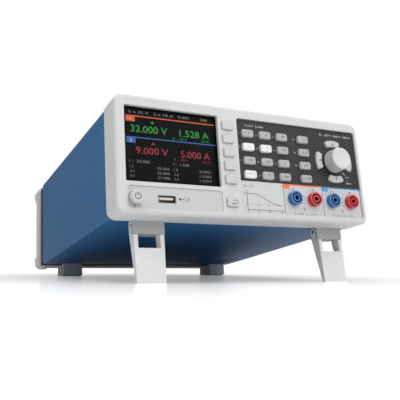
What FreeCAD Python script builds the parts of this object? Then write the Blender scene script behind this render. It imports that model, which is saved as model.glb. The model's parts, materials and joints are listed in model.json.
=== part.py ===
import FreeCAD, Part
import math
import os
from FreeCAD import Vector

# Two-channel bench power supply in a half-rack case, standing on its two unfolded tilt legs.
# Millimetres. Every piece is drawn in the level frame of the case: X to the right as seen from the
# front, Y towards the rear, Z up, with zero at the lower left corner of the bezel's front face.
# The finished pieces are then tipped back onto the legs and moved so that the floor is Z = 0.
# A cutting tool runs 1 mm past the faces that it opens, and a piece to be joined runs into the other one.

# ---- case, bezel and sheet metal
CASE_WIDTH = 222.0
CASE_HEIGHT = 89.3
BEZEL_RISE = 1.3
BEZEL_DEPTH = 23.0
BEZEL_WALL = 2.6
BEZEL_CORNER = 6.5
BEZEL_EDGE = 2.4
FACE_THICKNESS = 4.0
SHEET = 1.0
COVER_SIDE_INSET = 1.6
COVER_TOP_INSET = 1.2
COVER_BEND = 2.2
COVER_LENGTH = 220.0
SHADOW_GAP = 13.0
SHEET_GAP = 0.4
CHASSIS_WALL_HEIGHT = 46.0

# ---- rear frame and panel
REAR_FRAME_DEPTH = 16.0
REAR_FRAME_INSET = 0.8
REAR_LIP_DEPTH = 8.8
REAR_LIP_WIDTH = 8.2
REAR_PANEL_SHEET = 1.2
BUMPER_PROUD = 7.0
BUMPER_SPAN = 16.0
BUMPER_ARM = 7.0
BUMPER_EDGE = 2.5

# ---- display
DISPLAY_LEFT = 7.4
DISPLAY_BOTTOM = 23.7
DISPLAY_WIDTH = 76.0
DISPLAY_HEIGHT = 57.4
DISPLAY_CORNER = 1.2
DISPLAY_RECESS = 3.0
WINDOW_OVERLAP = 2.0
WINDOW_THICKNESS = 1.5
WINDOW_GAP = 0.1
MODULE_MARGIN = 1.2
MODULE_THICKNESS = 5.0
MODULE_GAP = 0.2

# ---- recessed front panels
PANEL_THICKNESS = 0.8
PANEL_CORNER = 2.5
PANEL_GAP = 0.15
RIGHT_PANEL_LEFT = 100.3
RIGHT_PANEL_SIDE_MARGIN = 3.5
RIGHT_PANEL_TOP_MARGIN = 6.5
RIGHT_PANEL_BOTTOM = 5.0
RIGHT_PANEL_RECESS = 1.7
PANEL_SPLIT_HEIGHT = 30.6
LEFT_PANEL_LEFT = 8.6
LEFT_PANEL_RIGHT = 83.4
LEFT_PANEL_BOTTOM = 4.4
LEFT_PANEL_TOP = 20.7
LEFT_PANEL_RECESS = 0.6

# ---- keys: all of them are held by a flange behind the face and press a switch on the front board
KEY_GAP = 0.25
FLANGE_GAP = 0.3
FLANGE_THICKNESS = 1.0
FLANGE_WIDTH = 0.8
KEY_TRAVEL = 0.8
STEM_RADIUS = 1.5
STEM_LENGTH = 0.9
SWITCH_GAP = 0.2
SWITCH_PLUNGER_RADIUS = 1.75
SWITCH_PLUNGER_LENGTH = 0.8
SWITCH_SIZE = 6.0
SWITCH_HEIGHT = 3.5

KEYPAD_LEFT = 109.9
KEYPAD_PITCH_X = 16.1
KEYPAD_LAST_COLUMN_STEP = 20.8
KEYPAD_BOTTOM = 35.7
KEYPAD_PITCH_Z = 11.23
KEYPAD_COLUMNS = 4
KEYPAD_ROWS = 4
KEYPAD_KEY_WIDTH = 10.5
KEYPAD_KEY_HEIGHT = 6.3
KEYPAD_KEY_PROUD = 2.5
KEYPAD_KEY_CORNER = 1.7
KEYPAD_KEY_EDGE = 0.9

SOFT_KEY_X = 91.4
SOFT_KEY_BOTTOM = 29.9
SOFT_KEY_PITCH = 10.85
SOFT_KEY_COUNT = 5
SOFT_KEY_WIDTH = 9.6
SOFT_KEY_HEIGHT = 6.6
SOFT_KEY_PROUD = 1.8
SOFT_KEY_CORNER = 1.2
SOFT_KEY_EDGE = 0.8
BACK_KEY_Z = 12.0

ARROW_INNER_RADIUS = 12.8
ARROW_OUTER_RADIUS = 18.6
ARROW_HALF_ANGLE = 26.0
ARROW_PROUD = 2.0
ARROW_CORNER = 1.5
ARROW_EDGE = 0.8

POWER_X = 14.1
POWER_Z = 11.8
POWER_RADIUS = 5.0
POWER_PROUD = 5.5
POWER_EDGE = 0.8
POWER_TRAVEL = 2.0
POWER_STEM_RADIUS = 2.0
POWER_STEM_GAP = 1.2
POWER_SWITCH_SIZE = 9.0
POWER_SWITCH_BORE = 2.6
POWER_SWITCH_FLOOR = 0.5

# ---- rotary encoder and its knob
KNOB_FROM_RIGHT = 28.4
KNOB_Z = 53.1
KNOB_BASE_RADIUS = 9.8
KNOB_FRONT_RADIUS = 9.3
KNOB_FRONT_Y = -10.3
KNOB_FACE_GAP = 0.9
KNOB_EDGE = 1.3
KNOB_DISH = 0.6
KNOB_SKIRT_WALL = 1.6
KNOB_HUB_RADIUS = 5.0
KNOB_HUB_CLEARANCE = 1.2
KNOB_FRONT_WALL = 1.7
SHAFT_RADIUS = 3.0
SHAFT_GAP = 0.05
BUSH_RADIUS = 3.5
BUSH_TIP_Y = -1.2
BUSH_HOLE_GAP = 0.2
ENCODER_SIZE = 12.5
ENCODER_FRONT_GAP = 1.0
ENCODER_TRAVEL = 0.5
ENCODER_BORE_DEPTH = 3.0
ENCODER_CAVITY_GAP = 1.7
PLUNGER_RADIUS = 3.0
PLUNGER_THICKNESS = 0.8
PLUNGER_CAVITY_GAP = 0.4

# ---- output sockets for 4 mm safety plugs
SOCKET_FROM_RIGHT = 14.8
SOCKET_PITCH = 19.2
SOCKET_COUNT = 4
SOCKET_Z = 18.7
SOCKET_RADIUS = 5.85
SOCKET_PROUD = 4.2
SOCKET_EDGE = 0.5
SOCKET_BARREL_RADIUS = 5.2
SOCKET_HOLE_GAP = 0.15
SOCKET_GROOVE_INNER = 3.0
SOCKET_GROOVE_OUTER = 4.3
SOCKET_GROOVE_DEPTH = 11.0
SOCKET_BODY_LENGTH = 15.0
SOCKET_LUG_PROUD = 0.9
SOCKET_LUG_WIDTH = 4.0
SOCKET_LUG_LENGTH = 1.5
CONTACT_BORE = 2.0
CONTACT_RADIUS = 2.55
CONTACT_RECESS = 1.6
CONTACT_BORE_LENGTH = 14.0
CONTACT_LENGTH = 20.0
CONTACT_TAG_RADIUS = 1.2
CONTACT_TAG_LENGTH = 4.0

# ---- USB socket
USB_LEFT = 31.0
USB_BOTTOM = 8.7
USB_WIDTH = 14.3
USB_HEIGHT = 6.3
USB_GAP = 0.15
USB_SHELL = 0.4
USB_TONGUE_WIDTH = 11.1
USB_TONGUE_THICKNESS = 1.84
USB_TONGUE_RAISE = 0.8
USB_TONGUE_RECESS = 1.6
USB_BACK_THICKNESS = 1.5

# ---- front board
BOARD_THICKNESS = 1.6
BOARD_LEFT = 86.0
BOARD_BOTTOM = 29.0
BOARD_TOP_MARGIN = 4.6
BOARD_RIGHT_MARGIN = 5.0
STRIP_LEFT = 7.0
STRIP_RIGHT = 98.0
STRIP_BOTTOM = 4.0
STRIP_TOP = 21.5
BOSS_RADIUS = 2.2
POST_RADIUS = 3.0
POST_INSET = 6.0
POST_END_Y = 20.0
TOP_POST_X = 88.0
POST_CLEARANCE = 0.5
PILOT_GAP = 0.05

# ---- screws
SCREW_RADIUS = 1.25
SCREW_HEAD_RADIUS = 2.6
SCREW_HEAD_HEIGHT = 1.8
SCREW_HOLE_RADIUS = 1.6
SCREW_LENGTH = 6.0
SCREW_SLOT_DEPTH = 1.0
SCREW_SLOT_WIDTH = 0.8
SCREW_SLOT_REACH = 1.56
SCREW_HEAD_GAP = 0.4
FRAME_SCREW_HEIGHTS = (24.0, 64.0)

# ---- front feet and tilt legs
FRONT_FOOT_LEFTS = (18.4, 183.4)
FRONT_FOOT_WIDTH = 25.2
FRONT_FOOT_OVERLAP = 2.5
FRONT_FOOT_LENGTH = 15.5
FRONT_FOOT_DROP = 9.5
FRONT_FOOT_WALL = 2.5
FRONT_FOOT_REAR_ROUND = 4.0
LEG_WIDTH = 23.9
LEG_TAPER = 0.85
LEG_LENGTH = 36.3
LEG_LEAN = 3.2
LEG_FACE_SETBACK = 0.2
LEG_TOP_GAP = 0.4
LEG_ARM_WIDTH = 3.2
LEG_ARM_GAP = 0.4
LEG_DEPTH_TOP = 9.2
LEG_DEPTH_BOTTOM = 3.3
LEG_SHOULDER = 2.55
LEG_WEB = 2.4
LEG_WINDOW_LENGTH = 10.2
LEG_STOCK = 8.0
EAR_RADIUS = 3.2
EAR_TOP_GAP = 0.4
PIVOT_SETBACK = 7.0
PIN_RADIUS = 1.5
PIN_GAP = 0.06
PIN_END_INSET = 0.3

# ---- rear feet
REAR_FOOT_LEFTS = (21.6, 192.0)
REAR_FOOT_WIDTH = 20.2
REAR_FOOT_LENGTH = 25.5
REAR_FOOT_OVERLAP = 5.5
REAR_FOOT_DROP = 10.8
REAR_FOOT_SOLE = 8.5
REAR_FOOT_EDGE = 1.0

# ---- fan
FAN_SIZE = 60.0
FAN_DEPTH = 25.0
FAN_FROM_RIGHT = 57.0
FAN_BORE_RADIUS = 28.6
FAN_CORNER = 3.0
FAN_HOLE_PITCH = 50.0
FAN_HUB_RADIUS = 16.0
FAN_TIP_GAP = 0.9
FAN_BLADES = 7
FAN_BLADE_THICKNESS = 1.2
FAN_BLADE_ANGLE = 38.0
FAN_STRUTS = 4
FAN_STRUT_WIDTH = 4.0
FAN_STRUT_THICKNESS = 2.6
FAN_BOSS_RADIUS = 4.0
FAN_BOSS_LENGTH = 7.0
FAN_SHAFT_RADIUS = 1.5
FAN_AXIAL_GAP = 1.0
FAN_HUB_WALL = 2.0
GRILLE_RINGS = ((7.0, 11.0), (13.5, 17.5), (20.0, 24.0))
GRILLE_SPOKE = 2.6

# ---- mains inlet with rocker switch and fuse drawer
INLET_LEFT = 21.0
INLET_WIDTH = 31.0
INLET_BOTTOM = 15.0
INLET_HEIGHT = 58.0
INLET_FLANGE = 2.5
INLET_CORNER = 2.5
INLET_BODY_WIDTH = 27.6
INLET_BODY_MARGIN = 2.4
INLET_BODY_DEPTH = 24.0
INLET_HOLE_GAP = 0.3
PLUG_CAVITY_WIDTH = 24.6
PLUG_CAVITY_HEIGHT = 16.6
PLUG_CAVITY_BOTTOM = 3.8
PLUG_CAVITY_DEPTH = 16.5
PLUG_CAVITY_CORNER = 3.4
BLADE_WIDTH = 2.0
BLADE_HEIGHT = 4.0
BLADE_RECESS = 2.5
BLADE_SPREAD = 7.0
BLADE_OFFSET = 2.2
DRAWER_BOTTOM = 24.0
DRAWER_WIDTH = 20.0
DRAWER_HEIGHT = 8.0
DRAWER_HOLD = 3.0
DRAWER_GAP = 0.3
DRAWER_TRAVEL = 14.0
DRAWER_LIP = 1.2
DRAWER_LIP_THICKNESS = 1.4
DRAWER_WALL = 1.2
ROCKER_BOTTOM = 36.0
ROCKER_WIDTH = 21.0
ROCKER_HEIGHT = 16.5
ROCKER_GAP = 0.4
ROCKER_THROW = 18.0
ROCKER_DEPTH = 9.0
ROCKER_PIN_RADIUS = 1.2
ROCKER_PIN_LENGTH = 1.4
ROCKER_PIN_GAP = 0.06
ROCKER_CAVITY_DEPTH = 11.0
ROCKER_EDGE = 0.8
ROCKER_VALLEY = 1.6
ROCKER_PROUD = 0.5
ROCKER_END_GAP = 1.2
ROCKER_BACK_GAP = 1.5

# ---- power electronics inside the case
TRANSFORMER_X = 56.0
TRANSFORMER_Y = 140.0
TRANSFORMER_RADIUS = 43.0
TRANSFORMER_HOLE_RADIUS = 13.0
TRANSFORMER_HEIGHT = 44.0
TRANSFORMER_ROUND = 9.0
TRANSFORMER_PAD = 2.0
TRANSFORMER_DISH_RADIUS = 30.0
TRANSFORMER_DISH_THICKNESS = 1.5
TRANSFORMER_BOLT_RADIUS = 3.0
HEAT_SINK_X = 112.0
HEAT_SINK_Y = 120.0
HEAT_SINK_WIDTH = 96.0
HEAT_SINK_LENGTH = 104.0
HEAT_SINK_BASE = 5.0
HEAT_SINK_FIN_HEIGHT = 50.0
HEAT_SINK_FIN_THICKNESS = 2.0
HEAT_SINK_FINS = 13
MAIN_BOARD_X = 104.0
MAIN_BOARD_Y = 30.0
MAIN_BOARD_WIDTH = 108.0
MAIN_BOARD_LENGTH = 82.0
MAIN_BOARD_STANDOFF = 6.0
CAPACITOR_RADIUS = 11.0
CAPACITOR_HEIGHT = 34.0
CAPACITOR_COUNT = 4
CAPACITOR_PITCH = 25.0
REGULATOR_WIDTH = 15.0
REGULATOR_HEIGHT = 20.0
REGULATOR_THICKNESS = 5.0
VENT_COLUMNS = 2
VENT_ROWS = 7
VENT_LENGTH = 22.0
VENT_WIDTH = 2.6
VENT_PITCH_X = 27.0
VENT_PITCH_Y = 5.2
VENT_FROM_RIGHT = 12.0
VENT_FROM_END = 11.0

# ---- places that follow from the sizes above
BODY_HEIGHT = CASE_HEIGHT - BEZEL_RISE
COVER_END = BEZEL_DEPTH + COVER_LENGTH
REAR_FRAME_Y = COVER_END + SHADOW_GAP
REAR_FRAME_END = REAR_FRAME_Y + REAR_FRAME_DEPTH
REAR_LIP_Y = REAR_FRAME_END - REAR_LIP_DEPTH
PANEL_BACK_Y = REAR_LIP_Y
PANEL_INNER_Y = PANEL_BACK_Y - REAR_PANEL_SHEET
KNOB_X = CASE_WIDTH - KNOB_FROM_RIGHT
FAN_X = CASE_WIDTH - FAN_FROM_RIGHT
FAN_Z = BODY_HEIGHT / 2
INLET_X = INLET_LEFT + INLET_WIDTH / 2
DRAWER_DEPTH = DRAWER_TRAVEL + DRAWER_HOLD
RIGHT_PANEL_RIGHT = CASE_WIDTH - RIGHT_PANEL_SIDE_MARGIN
RIGHT_PANEL_TOP = BODY_HEIGHT - RIGHT_PANEL_TOP_MARGIN
FLANGE_Y = FACE_THICKNESS + FLANGE_GAP
STEM_Y = FLANGE_Y + FLANGE_THICKNESS
SWITCH_TIP_Y = STEM_Y + STEM_LENGTH + KEY_TRAVEL + SWITCH_GAP
BOARD_Y = SWITCH_TIP_Y + SWITCH_PLUNGER_LENGTH + SWITCH_HEIGHT
POWER_STEM_END_Y = BOARD_Y - POWER_SWITCH_FLOOR - POWER_STEM_GAP - POWER_TRAVEL
COVER_INNER_SIDE = COVER_SIDE_INSET + SHEET
COVER_INNER_FLOOR = COVER_TOP_INSET + SHEET
SKIRT_SIDE = COVER_INNER_SIDE + SHEET_GAP
SKIRT_FLOOR = COVER_INNER_FLOOR + SHEET_GAP
CHASSIS_SIDE = SKIRT_SIDE + REAR_PANEL_SHEET + SHEET_GAP
CHASSIS_FLOOR = SKIRT_FLOOR + REAR_PANEL_SHEET + SHEET_GAP
CHASSIS_TOP = CHASSIS_FLOOR + SHEET

# Tilt-leg geometry. A point on a leg is given by its depth behind the leg's front face and its
# distance down that face from the face's top edge, and leg_point turns it into case coordinates.
FRONT_FOOT_Y = BEZEL_DEPTH - FRONT_FOOT_OVERLAP
LEG_FACE_Y = FRONT_FOOT_Y - LEG_FACE_SETBACK
LEG_FACE_Z = -FRONT_FOOT_DROP - LEG_TOP_GAP
PIVOT_Y = LEG_FACE_Y + PIVOT_SETBACK
PIVOT_Z = COVER_TOP_INSET - EAR_TOP_GAP - EAR_RADIUS
LEAN = math.radians(LEG_LEAN)


def leg_point(depth, down):
    """Case Y and Z of a point on the unfolded leg."""
    y = LEG_FACE_Y + depth * math.cos(LEAN) - down * math.sin(LEAN)
    z = LEG_FACE_Z - depth * math.sin(LEAN) - down * math.cos(LEAN)
    return y, z


TOE_Y, TOE_Z = leg_point(0.0, LEG_LENGTH)
REAR_FOOT_Y = COVER_END - REAR_FOOT_OVERLAP
HEEL_Y = REAR_FOOT_Y + REAR_FOOT_SOLE
TILT = math.atan2(-REAR_FOOT_DROP - TOE_Z, HEEL_Y - TOE_Y)


def floor_z(y):
    """Case height of the floor below a given case Y."""
    return TOE_Z + (y - TOE_Y) * math.tan(TILT)


# ---- shared shapes
def block(x0, x1, y0, y1, z0, z1):
    return Part.makeBox(x1 - x0, y1 - y0, z1 - z0, Vector(x0, y0, z0))


def rod(x, z, radius, y0, y1):
    """Cylinder along Y."""
    return Part.makeCylinder(radius, y1 - y0, Vector(x, y0, z), Vector(0, 1, 0))


def cross_rod(x0, x1, y, z, radius):
    """Cylinder along X."""
    return Part.makeCylinder(radius, x1 - x0, Vector(x0, y, z), Vector(1, 0, 0))


def pillar(x, y, radius, z0, z1):
    """Cylinder along Z."""
    return Part.makeCylinder(radius, z1 - z0, Vector(x, y, z0))


def ring(x, z, inner, outer, y0, y1):
    return rod(x, z, outer, y0, y1).cut(rod(x, z, inner, y0 - 1, y1 + 1))


def straight_along(edge, axis):
    """True for a straight edge that runs along the given unit vector."""
    if not isinstance(edge.Curve, Part.Line):
        return False
    return abs(edge.tangentAt(edge.FirstParameter).dot(axis)) > 0.999


def edges_on_y(shape, y):
    """Edges that lie in the plane at a given Y."""
    return [e for e in shape.Edges if abs(e.BoundBox.YMin - y) < 1e-4 and abs(e.BoundBox.YMax - y) < 1e-4]


def rounded(x0, x1, y0, y1, z0, z1, corner):
    """Block with the four edges along Y rounded."""
    solid = block(x0, x1, y0, y1, z0, z1)
    edges = [e for e in solid.Edges if straight_along(e, Vector(0, 1, 0))]
    return solid.makeFillet(corner, edges)


def fuse_all(shapes):
    result = shapes[0]
    if len(shapes) > 1:
        result = result.multiFuse(shapes[1:])
    return result.removeSplitter()


def cut_all(shape, tools):
    return shape.cut(Part.makeCompound(tools)) if tools else shape


def profile_yz(points, x0, x1):
    """Prism along X from an outline of (y, z) points."""
    corners = [Vector(x0, y, z) for y, z in points]
    face = Part.Face(Part.makePolygon(corners + corners[:1]))
    return face.extrude(Vector(x1 - x0, 0, 0))


def revolve_y(x, z, points):
    """Solid turned about an axis along Y through (x, z), from an outline of (radius, y) points."""
    corners = [Vector(x + r, y, z) for r, y in points]
    face = Part.Face(Part.makePolygon(corners + corners[:1]))
    return face.revolve(Vector(x, 0, z), Vector(0, 1, 0), 360)


# ---- where the repeated things are
def keypad_places():
    """Centre of every keypad key by row from the top and column from the left."""
    places = {}
    for row in range(KEYPAD_ROWS):
        z = KEYPAD_BOTTOM + (KEYPAD_ROWS - 1 - row) * KEYPAD_PITCH_Z
        for column in range(KEYPAD_COLUMNS):
            x = KEYPAD_LEFT + column * KEYPAD_PITCH_X
            if column == KEYPAD_COLUMNS - 1:
                x += KEYPAD_LAST_COLUMN_STEP - KEYPAD_PITCH_X
            places[f"keypad_key_{row + 1}_{column + 1}"] = (x, z)
    return places


def soft_key_places():
    top = SOFT_KEY_BOTTOM + (SOFT_KEY_COUNT - 1) * SOFT_KEY_PITCH
    places = {f"soft_key_{i + 1}": (SOFT_KEY_X, top - i * SOFT_KEY_PITCH) for i in range(SOFT_KEY_COUNT)}
    places["back_key"] = (SOFT_KEY_X, BACK_KEY_Z)
    return places


def arrow_angles():
    return {"arrow_key_right": 0.0, "arrow_key_up": 90.0, "arrow_key_left": 180.0, "arrow_key_down": 270.0}


def arrow_switch_places():
    middle = (ARROW_INNER_RADIUS + ARROW_OUTER_RADIUS) / 2
    turns = [math.radians(angle) for angle in arrow_angles().values()]
    return [(KNOB_X + middle * math.cos(a), KNOB_Z + middle * math.sin(a)) for a in turns]


def socket_places():
    last = CASE_WIDTH - SOCKET_FROM_RIGHT
    first = last - (SOCKET_COUNT - 1) * SOCKET_PITCH
    return [(first + i * SOCKET_PITCH, SOCKET_Z) for i in range(SOCKET_COUNT)]


def post_places():
    right = CASE_WIDTH - POST_INSET
    top = BODY_HEIGHT - POST_INSET
    return [(POST_INSET, POST_INSET), (right, POST_INSET), (right, top), (TOP_POST_X, top)]


def boss_places():
    left = (SOFT_KEY_X + SOFT_KEY_WIDTH / 2 + KEYPAD_LEFT - KEYPAD_KEY_WIDTH / 2) / 2
    third = KEYPAD_LEFT + (KEYPAD_COLUMNS - 2) * KEYPAD_PITCH_X
    middle = third + KEYPAD_LAST_COLUMN_STEP / 2
    low = KEYPAD_BOTTOM + KEYPAD_PITCH_Z / 2
    high = low + (KEYPAD_ROWS - 2) * KEYPAD_PITCH_Z
    usb_left = (POWER_X + USB_LEFT) / 2 + BOSS_RADIUS
    usb_right = USB_LEFT + USB_WIDTH + (SOFT_KEY_X - USB_LEFT - USB_WIDTH) / 2
    keypad = [(x, z) for x in (left, middle) for z in (low, high)]
    return keypad + [(usb_left, POWER_Z), (usb_right, POWER_Z)]


def fan_screw_places():
    half = FAN_HOLE_PITCH / 2
    return [(FAN_X + i * half, FAN_Z + j * half) for i in (-1, 1) for j in (-1, 1)]


def frame_screw_places():
    inset = (REAR_FRAME_INSET + REAR_LIP_WIDTH) / 2
    return [(x, z) for x in (inset, CASE_WIDTH - inset) for z in FRAME_SCREW_HEIGHTS]


# ---- keys and their openings
def key_outline(x, z, width, height, corner, y0, y1, grow=0.0):
    half_w = width / 2 + grow
    half_h = height / 2 + grow
    return rounded(x - half_w, x + half_w, y0, y1, z - half_h, z + half_h, corner)


def arrow_outline(angle, y0, y1, grow=0.0):
    """Curved bar around the knob; its ends lie on radii."""
    inner = ARROW_INNER_RADIUS - grow
    outer = ARROW_OUTER_RADIUS + grow
    half = ARROW_HALF_ANGLE + math.degrees(grow / ARROW_OUTER_RADIUS)

    def at(radius, turn):
        a = math.radians(angle + turn)
        return Vector(KNOB_X + radius * math.cos(a), y0, KNOB_Z + radius * math.sin(a))

    wire = Part.Wire([
        Part.Arc(at(outer, -half), at(outer, 0), at(outer, half)).toShape(),
        Part.makeLine(at(outer, half), at(inner, half)),
        Part.Arc(at(inner, half), at(inner, 0), at(inner, -half)).toShape(),
        Part.makeLine(at(inner, -half), at(outer, -half)),
    ])
    solid = Part.Face(wire).extrude(Vector(0, y1 - y0, 0))
    edges = [e for e in solid.Edges if straight_along(e, Vector(0, 1, 0))]
    return solid.makeFillet(ARROW_CORNER, edges)


def soften_front(solid, y, radius):
    return solid.makeFillet(radius, edges_on_y(solid, y))


def key_stem(x, z):
    return rod(x, z, STEM_RADIUS, STEM_Y, STEM_Y + STEM_LENGTH)


def rectangular_key(x, z, size, corner, edge, front_y):
    width, height = size
    cap = key_outline(x, z, width, height, corner, front_y, FLANGE_Y)
    cap = soften_front(cap, front_y, edge)
    flange = key_outline(x, z, width, height, corner, FLANGE_Y, STEM_Y, FLANGE_WIDTH)
    return fuse_all([cap, flange, key_stem(x, z)])


def keypad_key(x, z):
    front_y = RIGHT_PANEL_RECESS - KEYPAD_KEY_PROUD
    size = (KEYPAD_KEY_WIDTH, KEYPAD_KEY_HEIGHT)
    return rectangular_key(x, z, size, KEYPAD_KEY_CORNER, KEYPAD_KEY_EDGE, front_y)


def soft_key(x, z):
    size = (SOFT_KEY_WIDTH, SOFT_KEY_HEIGHT)
    return rectangular_key(x, z, size, SOFT_KEY_CORNER, SOFT_KEY_EDGE, -SOFT_KEY_PROUD)


def arrow_key(angle, place):
    front_y = RIGHT_PANEL_RECESS - ARROW_PROUD
    cap = soften_front(arrow_outline(angle, front_y, FLANGE_Y), front_y, ARROW_EDGE)
    flange = arrow_outline(angle, FLANGE_Y, STEM_Y, FLANGE_WIDTH)
    return fuse_all([cap, flange, key_stem(*place)])


def power_button():
    front_y = LEFT_PANEL_RECESS - POWER_PROUD
    cap = soften_front(rod(POWER_X, POWER_Z, POWER_RADIUS, front_y, FLANGE_Y), front_y, POWER_EDGE)
    flange = rod(POWER_X, POWER_Z, POWER_RADIUS + FLANGE_WIDTH, FLANGE_Y, STEM_Y)
    stem = rod(POWER_X, POWER_Z, POWER_STEM_RADIUS, STEM_Y, POWER_STEM_END_Y)
    return fuse_all([cap, flange, stem])


def keypad_holes(y0, y1):
    return [key_outline(x, z, KEYPAD_KEY_WIDTH, KEYPAD_KEY_HEIGHT, KEYPAD_KEY_CORNER, y0, y1, KEY_GAP)
            for x, z in keypad_places().values()]


def arrow_holes(y0, y1):
    return [arrow_outline(angle, y0, y1, KEY_GAP) for angle in arrow_angles().values()]


def socket_holes(y0, y1):
    return [rod(x, z, SOCKET_BARREL_RADIUS + SOCKET_HOLE_GAP, y0, y1) for x, z in socket_places()]


def usb_hole(y0, y1):
    return block(USB_LEFT, USB_LEFT + USB_WIDTH, y0, y1, USB_BOTTOM, USB_BOTTOM + USB_HEIGHT)


def power_hole(y0, y1):
    return rod(POWER_X, POWER_Z, POWER_RADIUS + KEY_GAP, y0, y1)


# ---- front bezel and the panels let into it
def right_panel_pocket(y0, y1):
    return rounded(RIGHT_PANEL_LEFT, RIGHT_PANEL_RIGHT, y0, y1,
                   RIGHT_PANEL_BOTTOM, RIGHT_PANEL_TOP, PANEL_CORNER)


def left_panel_pocket(y0, y1):
    return rounded(LEFT_PANEL_LEFT, LEFT_PANEL_RIGHT, y0, y1, LEFT_PANEL_BOTTOM, LEFT_PANEL_TOP, PANEL_CORNER)


def display_opening(y0, y1, grow, corner):
    left = DISPLAY_LEFT - grow
    right = DISPLAY_LEFT + DISPLAY_WIDTH + grow
    bottom = DISPLAY_BOTTOM - grow
    top = DISPLAY_BOTTOM + DISPLAY_HEIGHT + grow
    return rounded(left, right, y0, y1, bottom, top, corner)


def front_bezel():
    outer = rounded(0, CASE_WIDTH, 0, BEZEL_DEPTH, 0, CASE_HEIGHT, BEZEL_CORNER)
    outer = soften_front(outer, 0, BEZEL_EDGE)
    inner_corner = BEZEL_CORNER - BEZEL_WALL
    cavity = rounded(BEZEL_WALL, CASE_WIDTH - BEZEL_WALL, FACE_THICKNESS, BEZEL_DEPTH + 1,
                     BEZEL_WALL, CASE_HEIGHT - BEZEL_WALL, inner_corner)
    shell = outer.cut(cavity)
    posts = [rod(x, z, POST_RADIUS, FACE_THICKNESS - 1, POST_END_Y) for x, z in post_places()]
    bosses = [rod(x, z, BOSS_RADIUS, FACE_THICKNESS - 1, BOARD_Y) for x, z in boss_places()]
    shell = shell.multiFuse(posts + bosses)
    through = FACE_THICKNESS + 1
    tools = [display_opening(-1, through, 0, DISPLAY_CORNER)]
    tools.append(display_opening(DISPLAY_RECESS, through, WINDOW_OVERLAP, DISPLAY_CORNER))
    tools.append(right_panel_pocket(-1, RIGHT_PANEL_RECESS + PANEL_THICKNESS))
    tools.append(left_panel_pocket(-1, LEFT_PANEL_RECESS + PANEL_THICKNESS))
    for x, z in soft_key_places().values():
        opening = key_outline(x, z, SOFT_KEY_WIDTH, SOFT_KEY_HEIGHT, SOFT_KEY_CORNER, -1, through, KEY_GAP)
        tools.append(opening)
    tools += keypad_holes(0, through)
    tools += arrow_holes(0, through)
    tools += socket_holes(0, through)
    tools += [usb_hole(0, through), power_hole(0, through)]
    tools.append(rod(KNOB_X, KNOB_Z, BUSH_RADIUS + BUSH_HOLE_GAP, 0, through))
    pilot = SCREW_RADIUS + PILOT_GAP
    tools += [rod(x, z, pilot, POST_END_Y - SCREW_LENGTH - 1, POST_END_Y + 1) for x, z in post_places()]
    tools += [rod(x, z, pilot, BOARD_Y - SCREW_LENGTH, BOARD_Y + 1) for x, z in boss_places()]
    return cut_all(shell, tools)


def right_panel(bottom, top, y0, y1):
    """Part of the right-hand panel between two heights, a little smaller than its pocket."""
    blank = rounded(RIGHT_PANEL_LEFT + PANEL_GAP, RIGHT_PANEL_RIGHT - PANEL_GAP, y0, y1,
                    RIGHT_PANEL_BOTTOM + PANEL_GAP, RIGHT_PANEL_TOP - PANEL_GAP, PANEL_CORNER - PANEL_GAP)
    return blank.common(block(0, CASE_WIDTH, y0, y1, bottom, top))


def keypad_fascia():
    y0 = RIGHT_PANEL_RECESS
    y1 = y0 + PANEL_THICKNESS
    plate = right_panel(PANEL_SPLIT_HEIGHT, CASE_HEIGHT, y0, y1)
    tools = keypad_holes(y0 - 1, y1 + 1) + arrow_holes(y0 - 1, y1 + 1)
    tools.append(rod(KNOB_X, KNOB_Z, BUSH_RADIUS + BUSH_HOLE_GAP, y0 - 1, y1 + 1))
    return cut_all(plate, tools)


def terminal_plate():
    y0 = RIGHT_PANEL_RECESS
    y1 = y0 + PANEL_THICKNESS
    plate = right_panel(0, PANEL_SPLIT_HEIGHT, y0, y1)
    return cut_all(plate, socket_holes(y0 - 1, y1 + 1))


def connector_plate():
    y0 = LEFT_PANEL_RECESS
    y1 = y0 + PANEL_THICKNESS
    plate = rounded(LEFT_PANEL_LEFT + PANEL_GAP, LEFT_PANEL_RIGHT - PANEL_GAP, y0, y1,
                    LEFT_PANEL_BOTTOM + PANEL_GAP, LEFT_PANEL_TOP - PANEL_GAP, PANEL_CORNER - PANEL_GAP)
    return cut_all(plate, [usb_hole(y0 - 1, y1 + 1), power_hole(y0 - 1, y1 + 1)])


def display_window():
    grow = WINDOW_OVERLAP - WINDOW_GAP
    return display_opening(DISPLAY_RECESS, DISPLAY_RECESS + WINDOW_THICKNESS, grow, DISPLAY_CORNER)


def display_module():
    y0 = DISPLAY_RECESS + WINDOW_THICKNESS + MODULE_GAP
    return display_opening(y0, y0 + MODULE_THICKNESS, MODULE_MARGIN, DISPLAY_CORNER)


# ---- front board with its switches
def small_switch(x, z):
    half = SWITCH_SIZE / 2
    top = BOARD_Y - SWITCH_HEIGHT
    body = block(x - half, x + half, top, BOARD_Y, z - half, z + half)
    plunger = rod(x, z, SWITCH_PLUNGER_RADIUS, SWITCH_TIP_Y, top)
    return body.fuse(plunger)


def power_switch():
    half = POWER_SWITCH_SIZE / 2
    top = BOARD_Y - SWITCH_HEIGHT
    body = block(POWER_X - half, POWER_X + half, top, BOARD_Y, POWER_Z - half, POWER_Z + half)
    return body.cut(rod(POWER_X, POWER_Z, POWER_SWITCH_BORE, top - 1, BOARD_Y - POWER_SWITCH_FLOOR))


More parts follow.
